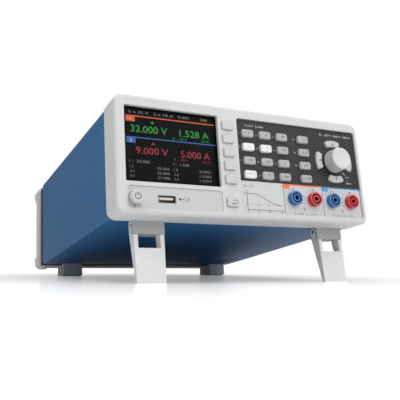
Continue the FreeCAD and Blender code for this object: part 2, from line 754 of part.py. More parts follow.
def front_board():
    y1 = BOARD_Y + BOARD_THICKNESS
    board_right = CASE_WIDTH - BOARD_RIGHT_MARGIN
    upper = block(BOARD_LEFT, board_right, BOARD_Y, y1, BOARD_BOTTOM, BODY_HEIGHT - BOARD_TOP_MARGIN)
    strip = block(STRIP_LEFT, STRIP_RIGHT, BOARD_Y, y1, STRIP_BOTTOM, STRIP_TOP)
    neck = block(BOARD_LEFT, STRIP_RIGHT, BOARD_Y, y1, STRIP_BOTTOM, BOARD_BOTTOM)
    board = fuse_all([upper, strip, neck])
    tools = [rod(x, z, POST_RADIUS + POST_CLEARANCE, BOARD_Y - 1, y1 + 1) for x, z in post_places()]
    tools += [rod(x, z, SCREW_HOLE_RADIUS, BOARD_Y - 1, y1 + 1) for x, z in boss_places()]
    board = cut_all(board, tools)
    places = list(keypad_places().values()) + list(soft_key_places().values()) + arrow_switch_places()
    switches = [small_switch(x, z) for x, z in places]
    return Part.makeCompound([board, power_switch()] + switches)


# ---- rotary encoder and knob
def encoder_body():
    half = ENCODER_SIZE / 2
    front = FACE_THICKNESS + ENCODER_FRONT_GAP
    body = block(KNOB_X - half, KNOB_X + half, front, BOARD_Y, KNOB_Z - half, KNOB_Z + half)
    bush = rod(KNOB_X, KNOB_Z, BUSH_RADIUS, BUSH_TIP_Y, front + 1)
    bore_end = front + ENCODER_BORE_DEPTH
    bore = rod(KNOB_X, KNOB_Z, SHAFT_RADIUS + SHAFT_GAP, BUSH_TIP_Y - 1, bore_end + 0.1)
    cavity_end = bore_end + PLUNGER_THICKNESS + ENCODER_TRAVEL + ENCODER_CAVITY_GAP
    cavity = rod(KNOB_X, KNOB_Z, PLUNGER_RADIUS + PLUNGER_CAVITY_GAP, bore_end, cavity_end)
    return cut_all(body.fuse(bush), [bore, cavity])


ENCODER_BORE_END = FACE_THICKNESS + ENCODER_FRONT_GAP + ENCODER_BORE_DEPTH
SHAFT_TIP_Y = KNOB_FRONT_Y + KNOB_DISH + KNOB_FRONT_WALL


def encoder_plunger():
    start = ENCODER_BORE_END + SHAFT_GAP
    return rod(KNOB_X, KNOB_Z, PLUNGER_RADIUS, start, start + PLUNGER_THICKNESS)


def encoder_shaft():
    return rod(KNOB_X, KNOB_Z, SHAFT_RADIUS, SHAFT_TIP_Y, ENCODER_BORE_END)


def knob():
    """Slightly tapered cap with a shallow dished face, a hub on the shaft and a hollow skirt."""
    base_y = RIGHT_PANEL_RECESS - KNOB_FACE_GAP
    slope = (KNOB_BASE_RADIUS - KNOB_FRONT_RADIUS) / (base_y - KNOB_FRONT_Y)
    shoulder = KNOB_FRONT_RADIUS + slope * KNOB_EDGE
    cavity_y = SHAFT_TIP_Y - KNOB_DISH
    hub_end = BUSH_TIP_Y - KNOB_HUB_CLEARANCE
    rim = KNOB_FRONT_RADIUS - KNOB_EDGE
    turn = KNOB_EDGE * (1 - math.sqrt(0.5))

    def at(radius, y):
        return Vector(KNOB_X + radius, y, KNOB_Z)

    corners = [(rim, KNOB_FRONT_Y), (0, KNOB_FRONT_Y), (0, SHAFT_TIP_Y), (SHAFT_RADIUS, SHAFT_TIP_Y),
               (SHAFT_RADIUS, hub_end), (KNOB_HUB_RADIUS, hub_end), (KNOB_HUB_RADIUS, cavity_y),
               (KNOB_FRONT_RADIUS - KNOB_SKIRT_WALL, cavity_y), (KNOB_BASE_RADIUS - KNOB_SKIRT_WALL, base_y),
               (KNOB_BASE_RADIUS, base_y), (shoulder, KNOB_FRONT_Y + KNOB_EDGE)]
    edges = [Part.makeLine(at(*start), at(*end)) for start, end in zip(corners, corners[1:])]
    rounding = Part.Arc(at(*corners[-1]), at(shoulder - turn, KNOB_FRONT_Y + turn), at(*corners[0]))
    edges.append(rounding.toShape())
    cap = Part.Face(Part.Wire(edges)).revolve(Vector(KNOB_X, 0, KNOB_Z), Vector(0, 1, 0), 360)
    ball = (rim ** 2 + KNOB_DISH ** 2) / (2 * KNOB_DISH)
    return cap.cut(Part.makeSphere(ball, Vector(KNOB_X, KNOB_FRONT_Y + KNOB_DISH - ball, KNOB_Z)))


# ---- sockets
def output_socket(x, z):
    """Insulator with a shrouding groove, a boss round the contact and two snap lugs behind the face."""
    front = RIGHT_PANEL_RECESS - SOCKET_PROUD
    back = front + SOCKET_BODY_LENGTH
    head = soften_front(rod(x, z, SOCKET_RADIUS, front, RIGHT_PANEL_RECESS), front, SOCKET_EDGE)
    barrel = rod(x, z, SOCKET_BARREL_RADIUS, RIGHT_PANEL_RECESS, back)
    reach = SOCKET_BARREL_RADIUS + SOCKET_LUG_PROUD
    lug_end = FACE_THICKNESS + SOCKET_LUG_LENGTH
    lug_half = SOCKET_LUG_WIDTH / 2
    lug = block(x - reach, x + reach, FACE_THICKNESS, lug_end, z - lug_half, z + lug_half)
    body = fuse_all([head, barrel, lug])
    groove = ring(x, z, SOCKET_GROOVE_INNER, SOCKET_GROOVE_OUTER, front - 1, front + SOCKET_GROOVE_DEPTH)
    mouth = rod(x, z, CONTACT_BORE, front - 1, front + CONTACT_RECESS)
    seat = rod(x, z, CONTACT_RADIUS, front + CONTACT_RECESS, back + 1)
    return cut_all(body, [groove, mouth, seat])


def socket_contact(x, z):
    front = RIGHT_PANEL_RECESS - SOCKET_PROUD + CONTACT_RECESS
    sleeve = rod(x, z, CONTACT_RADIUS, front, front + CONTACT_LENGTH)
    tag = rod(x, z, CONTACT_TAG_RADIUS, front + CONTACT_LENGTH, front + CONTACT_LENGTH + CONTACT_TAG_LENGTH)
    return sleeve.fuse(tag).cut(rod(x, z, CONTACT_BORE, front - 1, front + CONTACT_BORE_LENGTH))


def output_sockets(first):
    """Every other socket, starting with the first or the second from the left."""
    return Part.makeCompound([output_socket(x, z) for x, z in socket_places()[first::2]])


def socket_contacts():
    return Part.makeCompound([socket_contact(x, z) for x, z in socket_places()])


def usb_socket():
    x0 = USB_LEFT + USB_GAP
    x1 = USB_LEFT + USB_WIDTH - USB_GAP
    z0 = USB_BOTTOM + USB_GAP
    z1 = USB_BOTTOM + USB_HEIGHT - USB_GAP
    front = LEFT_PANEL_RECESS
    shell = block(x0, x1, front, BOARD_Y, z0, z1)
    back = BOARD_Y - USB_BACK_THICKNESS
    shell = shell.cut(block(x0 + USB_SHELL, x1 - USB_SHELL, front - 1, back, z0 + USB_SHELL, z1 - USB_SHELL))
    middle_x = (x0 + x1) / 2
    tongue_z = (z0 + z1) / 2 + USB_TONGUE_RAISE
    half_w = USB_TONGUE_WIDTH / 2
    half_t = USB_TONGUE_THICKNESS / 2
    tongue = block(middle_x - half_w, middle_x + half_w, front + USB_TONGUE_RECESS, back + 0.5,
                   tongue_z - half_t, tongue_z + half_t)
    return shell.fuse(tongue).removeSplitter()


# ---- sheet metal
def vent_slots(z0, z1):
    """Air inlet slots near the right rear corner of the underside."""
    slots = []
    for column in range(VENT_COLUMNS):
        x1 = CASE_WIDTH - VENT_FROM_RIGHT - column * VENT_PITCH_X
        for row in range(VENT_ROWS):
            y1 = COVER_END - VENT_FROM_END - row * VENT_PITCH_Y
            slots.append(block(x1 - VENT_LENGTH, x1, y1 - VENT_WIDTH, y1, z0, z1))
    return slots


def cover():
    """Painted sheet sleeve, folded round all four sides."""
    left = COVER_SIDE_INSET
    right = CASE_WIDTH - COVER_SIDE_INSET
    bottom = COVER_TOP_INSET
    top = BODY_HEIGHT - COVER_TOP_INSET
    outer = rounded(left, right, BEZEL_DEPTH, COVER_END, bottom, top, COVER_BEND)
    inner = rounded(left + SHEET, right - SHEET, BEZEL_DEPTH - 1, COVER_END + 1, bottom + SHEET, top - SHEET,
                    COVER_BEND - SHEET)
    return cut_all(outer.cut(inner), vent_slots(0, COVER_INNER_FLOOR + 1))


def chassis():
    left = CHASSIS_SIDE
    right = CASE_WIDTH - CHASSIS_SIDE
    floor = block(left, right, POST_END_Y, PANEL_INNER_Y, CHASSIS_FLOOR, CHASSIS_TOP)
    wall_top = CHASSIS_TOP + CHASSIS_WALL_HEIGHT
    walls = [block(left, left + SHEET, POST_END_Y, PANEL_INNER_Y, CHASSIS_FLOOR, wall_top)]
    walls.append(block(right - SHEET, right, POST_END_Y, PANEL_INNER_Y, CHASSIS_FLOOR, wall_top))
    front = block(left, right, POST_END_Y, POST_END_Y + SHEET, CHASSIS_FLOOR, BODY_HEIGHT - CHASSIS_FLOOR)
    tray = fuse_all([floor, front] + walls)
    tools = vent_slots(0, CHASSIS_TOP + 1)
    y0 = POST_END_Y - 1
    y1 = POST_END_Y + SHEET + 1
    tools += [rod(x, z, SCREW_HOLE_RADIUS, y0, y1) for x, z in post_places()]
    head_start = POST_END_Y + SHEET
    head_end = head_start + SCREW_HEAD_HEIGHT + SCREW_HEAD_GAP
    head_room = SCREW_HEAD_RADIUS + SCREW_HEAD_GAP
    tools += [rod(x, z, head_room, head_start, head_end) for x, z in post_places()]
    tools += [rod(x, z, SOCKET_BARREL_RADIUS, y0, y1) for x, z in socket_places()]
    tools.append(display_opening(y0, y1, -MODULE_THICKNESS * 2, DISPLAY_CORNER))
    return cut_all(tray, tools)


def grille_cuts(y0, y1):
    rings = [ring(FAN_X, FAN_Z, inner, outer, y0, y1) for inner, outer in GRILLE_RINGS]
    reach = GRILLE_RINGS[-1][1] + 1
    half = GRILLE_SPOKE / 2
    spokes = fuse_all([
        block(FAN_X - reach, FAN_X + reach, y0, y1, FAN_Z - half, FAN_Z + half),
        block(FAN_X - half, FAN_X + half, y0, y1, FAN_Z - reach, FAN_Z + reach),
    ])
    return [shape.cut(spokes) for shape in rings]


def rear_panel():
    """Pan of dark sheet: the panel itself and a skirt that shows in the gap behind the cover."""
    left = SKIRT_SIDE
    right = CASE_WIDTH - SKIRT_SIDE
    bottom = SKIRT_FLOOR
    top = BODY_HEIGHT - SKIRT_FLOOR
    front = COVER_END - REAR_FOOT_OVERLAP
    pan = rounded(left, right, front, PANEL_BACK_Y, bottom, top, COVER_BEND)
    sheet = REAR_PANEL_SHEET
    inside = block(left + sheet, right - sheet, front - 1, PANEL_INNER_Y, bottom + sheet, top - sheet)
    y0 = PANEL_INNER_Y - 1
    y1 = PANEL_BACK_Y + 1
    tools = [inside] + grille_cuts(y0, y1)
    tools.append(inlet_body_outline(y0, y1, INLET_HOLE_GAP))
    tools += [rod(x, z, SCREW_HOLE_RADIUS, y0, y1) for x, z in fan_screw_places() + frame_screw_places()]
    return cut_all(pan, tools)


def rear_frame():
    """Moulded ring round the rear edge with a bumper at each corner."""
    inset = REAR_FRAME_INSET
    outer = rounded(inset, CASE_WIDTH - inset, REAR_FRAME_Y, REAR_FRAME_END, inset, BODY_HEIGHT - inset,
                    BEZEL_CORNER - inset)
    corners = []
    for x0, arm_x in ((0, BUMPER_ARM), (CASE_WIDTH - BUMPER_SPAN, BUMPER_SPAN - BUMPER_ARM)):
        for z0, arm_z in ((0, BUMPER_ARM), (BODY_HEIGHT - BUMPER_SPAN, BUMPER_SPAN - BUMPER_ARM)):
            corners.append(bumper(x0, z0, arm_x > BUMPER_ARM, arm_z > BUMPER_ARM))
    body = outer.multiFuse(corners)
    side = SKIRT_SIDE - SHEET_GAP
    floor = SKIRT_FLOOR - SHEET_GAP
    seat = block(side, CASE_WIDTH - side, REAR_FRAME_Y - 1, REAR_LIP_Y, floor, BODY_HEIGHT - floor)
    lip = REAR_LIP_WIDTH
    window = rounded(lip, CASE_WIDTH - lip, REAR_FRAME_Y, REAR_FRAME_END + BUMPER_PROUD + 1,
                     lip, BODY_HEIGHT - lip, PANEL_CORNER)
    tools = [seat, window]
    hole_start = REAR_LIP_Y - 1
    hole_end = REAR_FRAME_END + 1
    tools += [rod(x, z, SCREW_HOLE_RADIUS, hole_start, hole_end) for x, z in frame_screw_places()]
    return cut_all(body, tools)


def bumper(x0, z0, at_right, at_top):
    """L-shaped corner pad: a rounded block less the part towards the middle of the case."""
    y1 = REAR_FRAME_END + BUMPER_PROUD
    pad = rounded(x0, x0 + BUMPER_SPAN, REAR_FRAME_Y + BUMPER_EDGE, y1, z0, z0 + BUMPER_SPAN, BEZEL_CORNER)
    pad = pad.makeFillet(BUMPER_EDGE, edges_on_y(pad, y1))
    cut_x = (x0 - 1, x0 + BUMPER_SPAN - BUMPER_ARM) if at_right else (x0 + BUMPER_ARM, x0 + BUMPER_SPAN + 1)
    cut_z = (z0 - 1, z0 + BUMPER_SPAN - BUMPER_ARM) if at_top else (z0 + BUMPER_ARM, z0 + BUMPER_SPAN + 1)
    return pad.cut(block(cut_x[0], cut_x[1], REAR_FRAME_END, y1 + 1, cut_z[0], cut_z[1]))


# ---- feet and tilt legs
def leg_housing(left):
    """Front foot: a wall that hides the hinge and a narrower block that carries the pin."""
    right = left + FRONT_FOOT_WIDTH
    back = FRONT_FOOT_Y + FRONT_FOOT_LENGTH
    inner = FRONT_FOOT_WIDTH / 2 - LEG_WIDTH / 2 + LEG_ARM_WIDTH + LEG_ARM_GAP
    wall = block(left, right, FRONT_FOOT_Y, FRONT_FOOT_Y + FRONT_FOOT_WALL, -FRONT_FOOT_DROP, 0)
    middle = block(left + inner, right - inner, FRONT_FOOT_Y, back, -FRONT_FOOT_DROP, 0)
    low = [e for e in middle.Edges if straight_along(e, Vector(1, 0, 0))
           and e.BoundBox.YMin > back - 0.1 and e.BoundBox.ZMax < 0.1 - FRONT_FOOT_DROP]
    middle = middle.makeFillet(FRONT_FOOT_REAR_ROUND, low)
    top = block(left + inner, right - inner, BEZEL_DEPTH, back, -1, COVER_TOP_INSET)
    body = fuse_all([wall, middle, top])
    return body.cut(cross_rod(left, right, PIVOT_Y, PIVOT_Z, PIN_RADIUS))


def leg_housings():
    return Part.makeCompound([leg_housing(left) for left in FRONT_FOOT_LEFTS])


def leg_sides(left):
    margin = (FRONT_FOOT_WIDTH - LEG_WIDTH) / 2
    return left + margin, left + margin + LEG_WIDTH


def leg_pins():
    pins = []
    for left in FRONT_FOOT_LEFTS:
        x0, x1 = leg_sides(left)
        pins.append(cross_rod(x0 + PIN_END_INSET, x1 - PIN_END_INSET, PIVOT_Y, PIVOT_Z, PIN_RADIUS))
    return Part.makeCompound(pins)


def tilt_leg(left):
    """Channel-shaped leg: two tapering side flanges joined by a web, open as a window near the hinge."""
    x0, x1 = leg_sides(left)
    slope = (LEG_DEPTH_TOP - LEG_DEPTH_BOTTOM) / LEG_LENGTH
    ear_y, ear_z = PIVOT_Y, PIVOT_Z
    outline = [leg_point(0, 0), leg_point(0, LEG_LENGTH + LEG_STOCK)]
    outline.append(leg_point(LEG_DEPTH_BOTTOM - slope * LEG_STOCK, LEG_LENGTH + LEG_STOCK))
    outline.append(leg_point(LEG_DEPTH_TOP, 0))
    outline.append((ear_y + EAR_RADIUS, ear_z))
    outline.append((ear_y - EAR_RADIUS, ear_z))
    outline.append(leg_point(LEG_SHOULDER + LEG_FACE_SETBACK, 0))
    body = profile_yz(outline, x0, x1).fuse(cross_rod(x0, x1, ear_y, ear_z, EAR_RADIUS))
    inner0 = x0 + LEG_ARM_WIDTH
    inner1 = x1 - LEG_ARM_WIDTH
    far = LEG_LENGTH + LEG_STOCK + 1
    window = profile_yz([leg_point(-1, LEG_WINDOW_LENGTH), leg_point(far, LEG_WINDOW_LENGTH),
                         leg_point(far, -far), leg_point(-1, -far)], inner0, inner1)
    pocket = profile_yz([leg_point(LEG_WEB, far), leg_point(far, far), leg_point(far, 0),
                         leg_point(LEG_WEB, 0)], inner0, inner1)
    y_near = TOE_Y - LEG_STOCK
    y_far = TOE_Y + LEG_DEPTH_TOP + LEG_STOCK
    z_near = floor_z(y_near)
    z_far = floor_z(y_far)
    below = z_near - 2 * LEG_STOCK
    ground = profile_yz([(y_near, z_near), (y_far, z_far), (y_far, below), (y_near, below)], x0 - 1, x1 + 1)
    bore = cross_rod(x0 - 1, x1 + 1, ear_y, ear_z, PIN_RADIUS + PIN_GAP)
    body = cut_all(body, [window, pocket, ground, bore] + leg_taper_cuts(x0, x1))
    return body.removeSplitter()


def leg_taper_cuts(x0, x1):
    """Wedges that narrow the leg towards its toe."""
    y0 = TOE_Y - LEG_DEPTH_TOP
    depth = 3 * LEG_DEPTH_TOP
    low = TOE_Z - LEG_DEPTH_TOP
    cuts = []
    for edge, side in ((x0, 1), (x1, -1)):
        outside = edge - side
        inside = edge + side * LEG_TAPER
        corners = [(edge, LEG_FACE_Z), (outside, LEG_FACE_Z), (outside, low), (inside, low)]
        corners = [Vector(x, y0, z) for x, z in corners]
        cuts.append(Part.Face(Part.makePolygon(corners + corners[:1])).extrude(Vector(0, depth, 0)))
    return cuts


def rear_foot(left):
    """Block under the rear edge whose sole is bevelled to lie flat when the legs are out."""
    right = left + REAR_FOOT_WIDTH
    back = REAR_FOOT_Y + REAR_FOOT_LENGTH
    under_frame = REAR_FRAME_INSET
    top = [(REAR_FOOT_Y, COVER_TOP_INSET), (COVER_END, COVER_TOP_INSET), (COVER_END, under_frame)]
    sole = [(back, floor_z(back)), (HEEL_Y, -REAR_FOOT_DROP), (REAR_FOOT_Y, -REAR_FOOT_DROP)]
    outline = top + [(back, under_frame)] + sole
    foot = profile_yz(outline, left, right)
    upright = [e for e in foot.Edges if straight_along(e, Vector(0, 0, 1)) and e.BoundBox.ZMin < -1]
    foot = foot.makeFillet(REAR_FOOT_EDGE, upright)
    inner_left = BUMPER_SPAN
    inner_right = CASE_WIDTH - BUMPER_SPAN
    bumper_top = under_frame + 1
    tools = [block(0, inner_left, REAR_FRAME_Y, back + 1, 0, bumper_top)]
    tools.append(block(inner_right, CASE_WIDTH, REAR_FRAME_Y, back + 1, 0, bumper_top))
    return cut_all(foot, tools)


def rear_feet():
    return Part.makeCompound([rear_foot(left) for left in REAR_FOOT_LEFTS])


# ---- fan
FAN_END_Y = PANEL_INNER_Y
FAN_START_Y = FAN_END_Y - FAN_DEPTH
ROTOR_START_Y = FAN_START_Y + FAN_STRUT_THICKNESS + FAN_AXIAL_GAP
ROTOR_END_Y = FAN_END_Y - FAN_AXIAL_GAP


def fan_frame():
    half = FAN_SIZE / 2
    body = rounded(FAN_X - half, FAN_X + half, FAN_START_Y, FAN_END_Y, FAN_Z - half, FAN_Z + half, FAN_CORNER)
    tools = [rod(FAN_X, FAN_Z, FAN_BORE_RADIUS, FAN_START_Y - 1, FAN_END_Y + 1)]
    pilot = SCREW_RADIUS + PILOT_GAP
    tools += [rod(x, z, pilot, FAN_START_Y - 1, FAN_END_Y + 1) for x, z in fan_screw_places()]
    body = cut_all(body, tools)
    struts = []
    strut_end = FAN_START_Y + FAN_STRUT_THICKNESS
    width = FAN_STRUT_WIDTH / 2
    for i in range(FAN_STRUTS):
        strut = block(FAN_X, FAN_X + FAN_BORE_RADIUS + 0.5, FAN_START_Y, strut_end,
                      FAN_Z - width, FAN_Z + width)
        strut.rotate(Vector(FAN_X, 0, FAN_Z), Vector(0, 1, 0), 45 + 360 * i / FAN_STRUTS)
        struts.append(strut)
    struts.append(rod(FAN_X, FAN_Z, FAN_HUB_RADIUS, FAN_START_Y, strut_end))
    struts.append(rod(FAN_X, FAN_Z, FAN_BOSS_RADIUS, FAN_START_Y, strut_end + FAN_BOSS_LENGTH))
    body = body.multiFuse(struts).removeSplitter()
    return body.cut(rod(FAN_X, FAN_Z, FAN_SHAFT_RADIUS + SHAFT_GAP, FAN_START_Y + 1, FAN_END_Y))


def fan_rotor():
    """Hub cup with a short shaft and pitched blades."""
    hub = rod(FAN_X, FAN_Z, FAN_HUB_RADIUS, ROTOR_START_Y, ROTOR_END_Y)
    hollow = FAN_HUB_RADIUS - FAN_HUB_WALL
    hub = hub.cut(rod(FAN_X, FAN_Z, hollow, ROTOR_START_Y - 1, ROTOR_END_Y - FAN_HUB_WALL))
    shaft = rod(FAN_X, FAN_Z, FAN_SHAFT_RADIUS, FAN_START_Y + FAN_HUB_WALL, ROTOR_END_Y - 1)
    middle_y = (ROTOR_START_Y + ROTOR_END_Y) / 2
    reach = FAN_BORE_RADIUS - FAN_TIP_GAP
    chord = ROTOR_END_Y - ROTOR_START_Y
    half = FAN_BLADE_THICKNESS / 2
    blades = []
    for i in range(FAN_BLADES):
        blade = block(FAN_X - half, FAN_X + half, middle_y - chord, middle_y + chord,
                      FAN_Z + FAN_HUB_RADIUS - FAN_HUB_WALL / 2, FAN_Z + FAN_BORE_RADIUS)
        blade.rotate(Vector(FAN_X, middle_y, FAN_Z), Vector(0, 0, 1), FAN_BLADE_ANGLE)
        blade.rotate(Vector(FAN_X, middle_y, FAN_Z), Vector(0, 1, 0), 360 * i / FAN_BLADES)
        blades.append(blade)
    limit = rod(FAN_X, FAN_Z, reach, ROTOR_START_Y, ROTOR_END_Y)
    blades = [blade.common(limit) for blade in blades]
    return hub.multiFuse([shaft] + blades).removeSplitter()


# ---- mains inlet
def inlet_body_outline(y0, y1, grow=0.0):
    half = INLET_BODY_WIDTH / 2 + grow
    bottom = INLET_BOTTOM + INLET_BODY_MARGIN - grow
    top = INLET_BOTTOM + INLET_HEIGHT - INLET_BODY_MARGIN + grow
    return block(INLET_X - half, INLET_X + half, y0, y1, bottom, top)


INLET_FACE_Y = PANEL_BACK_Y + INLET_FLANGE
ROCKER_Z = INLET_BOTTOM + ROCKER_BOTTOM + ROCKER_HEIGHT / 2
ROCKER_PIVOT_Y = INLET_FACE_Y - ROCKER_DEPTH / 2


def plug_cavity():
    half = PLUG_CAVITY_WIDTH / 2
    bottom = INLET_BOTTOM + PLUG_CAVITY_BOTTOM
    top = bottom + PLUG_CAVITY_HEIGHT
    floor = INLET_FACE_Y - PLUG_CAVITY_DEPTH
    cavity = block(INLET_X - half, INLET_X + half, floor, INLET_FACE_Y + 1, bottom, top)
    upper = [e for e in cavity.Edges if straight_along(e, Vector(0, 1, 0)) and e.BoundBox.ZMin > top - 0.1]
    return cavity.makeChamfer(PLUG_CAVITY_CORNER, upper)


def inlet_blades():
    centre_z = INLET_BOTTOM + PLUG_CAVITY_BOTTOM + PLUG_CAVITY_HEIGHT / 2
    y0 = INLET_FACE_Y - PLUG_CAVITY_DEPTH - 0.5
    y1 = INLET_FACE_Y - BLADE_RECESS
    low = centre_z - BLADE_OFFSET
    high = centre_z + BLADE_OFFSET
    places = [(INLET_X - BLADE_SPREAD, low), (INLET_X + BLADE_SPREAD, low), (INLET_X, high)]
    half_w = BLADE_WIDTH / 2
    half_h = BLADE_HEIGHT / 2
    return [block(x - half_w, x + half_w, y0, y1, z - half_h, z + half_h) for x, z in places]


def mains_inlet():
    flange = rounded(INLET_LEFT, INLET_LEFT + INLET_WIDTH, PANEL_BACK_Y, INLET_FACE_Y,
                     INLET_BOTTOM, INLET_BOTTOM + INLET_HEIGHT, INLET_CORNER)
    body = inlet_body_outline(PANEL_BACK_Y - INLET_BODY_DEPTH, PANEL_BACK_Y)
    housing = fuse_all([flange, body])
    half = DRAWER_WIDTH / 2 + DRAWER_GAP
    z0 = INLET_BOTTOM + DRAWER_BOTTOM
    slot_end = INLET_FACE_Y - DRAWER_DEPTH - DRAWER_GAP
    drawer_slot = block(INLET_X - half, INLET_X + half, slot_end, INLET_FACE_Y + 1,
                        z0 - DRAWER_GAP, z0 + DRAWER_HEIGHT + DRAWER_GAP)
    half = ROCKER_WIDTH / 2 + ROCKER_GAP
    z0 = INLET_BOTTOM + ROCKER_BOTTOM
    rocker_well = block(INLET_X - half, INLET_X + half, INLET_FACE_Y - ROCKER_CAVITY_DEPTH, INLET_FACE_Y + 1,
                        z0 - ROCKER_GAP, z0 + ROCKER_HEIGHT + ROCKER_GAP)
    reach = ROCKER_WIDTH / 2 + ROCKER_PIN_LENGTH + ROCKER_GAP
    bore = ROCKER_PIN_RADIUS + ROCKER_PIN_GAP
    pin_bore = cross_rod(INLET_X - reach, INLET_X + reach, ROCKER_PIVOT_Y, ROCKER_Z, bore)
    housing = cut_all(housing, [plug_cavity(), drawer_slot, rocker_well, pin_bore])
    return fuse_all([housing] + inlet_blades())


def fuse_drawer():
    half = DRAWER_WIDTH / 2
    z0 = INLET_BOTTOM + DRAWER_BOTTOM
    z1 = z0 + DRAWER_HEIGHT
    end = INLET_FACE_Y - DRAWER_DEPTH
    front = INLET_FACE_Y + DRAWER_LIP_THICKNESS
    tray = block(INLET_X - half, INLET_X + half, end, front, z0, z1)
    third = half / 3
    lip = block(INLET_X - third, INLET_X + third, INLET_FACE_Y + DRAWER_GAP, front, z0 - DRAWER_LIP, z0 + 1)
    inner = half - DRAWER_WALL
    pocket = block(INLET_X - inner, INLET_X + inner, end + DRAWER_WALL, INLET_FACE_Y - DRAWER_WALL,
                   z0 + DRAWER_WALL, z1 + 1)
    return tray.fuse(lip).cut(pocket).removeSplitter()


def mains_rocker():
    """Rocker with two faces that meet in a shallow V, resting with its lower half pressed in."""
    half_h = ROCKER_HEIGHT / 2 - ROCKER_END_GAP
    half_w = ROCKER_WIDTH / 2
    back = ROCKER_PIVOT_Y - ROCKER_DEPTH / 2 + ROCKER_BACK_GAP
    rise = half_h * math.tan(math.radians(ROCKER_THROW / 2))
    face = INLET_FACE_Y + ROCKER_PROUD
    tip = face + ROCKER_VALLEY
    outline = [(face, ROCKER_Z), (tip, ROCKER_Z + half_h), (back + rise, ROCKER_Z + half_h),
               (back, ROCKER_Z), (back + rise, ROCKER_Z - half_h), (tip, ROCKER_Z - half_h)]
    body = profile_yz(outline, INLET_X - half_w, INLET_X + half_w)
    ends = [e for e in body.Edges if straight_along(e, Vector(1, 0, 0)) and e.BoundBox.YMin > face]
    body = body.makeFillet(ROCKER_EDGE, ends)
    reach = half_w + ROCKER_PIN_LENGTH
    pin = cross_rod(INLET_X - reach, INLET_X + reach, ROCKER_PIVOT_Y, ROCKER_Z, ROCKER_PIN_RADIUS)
    rocker = body.fuse(pin)
    rocker.rotate(Vector(INLET_X, ROCKER_PIVOT_Y, ROCKER_Z), Vector(1, 0, 0), ROCKER_THROW / 2)
    return rocker


# ---- inside the case
def transformer():
    """Toroid on a rubber pad, held down by a dished washer and one bolt."""
    base = CHASSIS_TOP + TRANSFORMER_PAD
    top = base + TRANSFORMER_HEIGHT
    core = pillar(TRANSFORMER_X, TRANSFORMER_Y, TRANSFORMER_RADIUS, base, top)
    core = core.cut(pillar(TRANSFORMER_X, TRANSFORMER_Y, TRANSFORMER_HOLE_RADIUS, base - 1, top + 1))
    round_edges = [e for e in core.Edges if isinstance(e.Curve, Part.Circle)]
    core = core.makeFillet(TRANSFORMER_ROUND, round_edges)
    pad = pillar(TRANSFORMER_X, TRANSFORMER_Y, TRANSFORMER_DISH_RADIUS, CHASSIS_TOP, base)
    dish_top = top + TRANSFORMER_DISH_THICKNESS
    dish = pillar(TRANSFORMER_X, TRANSFORMER_Y, TRANSFORMER_DISH_RADIUS, top, dish_top)
    bolt = pillar(TRANSFORMER_X, TRANSFORMER_Y, TRANSFORMER_BOLT_RADIUS, base, top)
    return Part.makeCompound([core, pad, dish, bolt])


def heat_sink():
    x1 = HEAT_SINK_X + HEAT_SINK_WIDTH
    y1 = HEAT_SINK_Y + HEAT_SINK_LENGTH
    base_top = CHASSIS_TOP + HEAT_SINK_BASE
    parts = [block(HEAT_SINK_X, x1, HEAT_SINK_Y, y1, CHASSIS_TOP, base_top)]
    step = (HEAT_SINK_WIDTH - HEAT_SINK_FIN_THICKNESS) / (HEAT_SINK_FINS - 1)
    fin_top = base_top + HEAT_SINK_FIN_HEIGHT
    for i in range(HEAT_SINK_FINS):
        x = HEAT_SINK_X + i * step
        parts.append(block(x, x + HEAT_SINK_FIN_THICKNESS, HEAT_SINK_Y, y1, base_top, fin_top))
    return fuse_all(parts)


def main_board():
    z0 = CHASSIS_TOP + MAIN_BOARD_STANDOFF
    z1 = z0 + BOARD_THICKNESS
    x1 = MAIN_BOARD_X + MAIN_BOARD_WIDTH
    y1 = MAIN_BOARD_Y + MAIN_BOARD_LENGTH
    pieces = [block(MAIN_BOARD_X, x1, MAIN_BOARD_Y, y1, z0, z1)]
    for x in (MAIN_BOARD_X + POST_INSET, x1 - POST_INSET):
        for y in (MAIN_BOARD_Y + POST_INSET, y1 - POST_INSET):
            pieces.append(pillar(x, y, POST_RADIUS, CHASSIS_TOP, z0))
    for i in range(CAPACITOR_COUNT):
        x = MAIN_BOARD_X + 2 * POST_INSET + CAPACITOR_RADIUS / 2 + i * CAPACITOR_PITCH
        pieces.append(pillar(x, MAIN_BOARD_Y + 3 * POST_INSET, CAPACITOR_RADIUS, z1, z1 + CAPACITOR_HEIGHT))
        back = y1 - POST_INSET
        front = back - REGULATOR_THICKNESS
        pieces.append(block(x, x + REGULATOR_WIDTH, front, back, z1, z1 + REGULATOR_HEIGHT))
    return Part.makeCompound(pieces)


def screw(x, z, head_y, direction):
    """Pan-head screw along Y; the head stands on the far side of head_y from the thread."""
    y_head = head_y + direction * SCREW_HEAD_HEIGHT
    head = rod(x, z, SCREW_HEAD_RADIUS, min(head_y, y_head), max(head_y, y_head))
    slot_y = y_head - direction * SCREW_SLOT_DEPTH
    half = SCREW_SLOT_WIDTH / 2
    y0, y1 = min(slot_y, y_head), max(slot_y, y_head)
    cross = [block(x - SCREW_SLOT_REACH, x + SCREW_SLOT_REACH, y0, y1, z - half, z + half)]
    cross.append(block(x - half, x + half, y0, y1, z - SCREW_SLOT_REACH, z + SCREW_SLOT_REACH))
    y_tip = head_y - direction * SCREW_LENGTH
    thread = rod(x, z, SCREW_RADIUS, min(head_y, y_tip), max(head_y, y_tip))
    return cut_all(head.fuse(thread), cross)


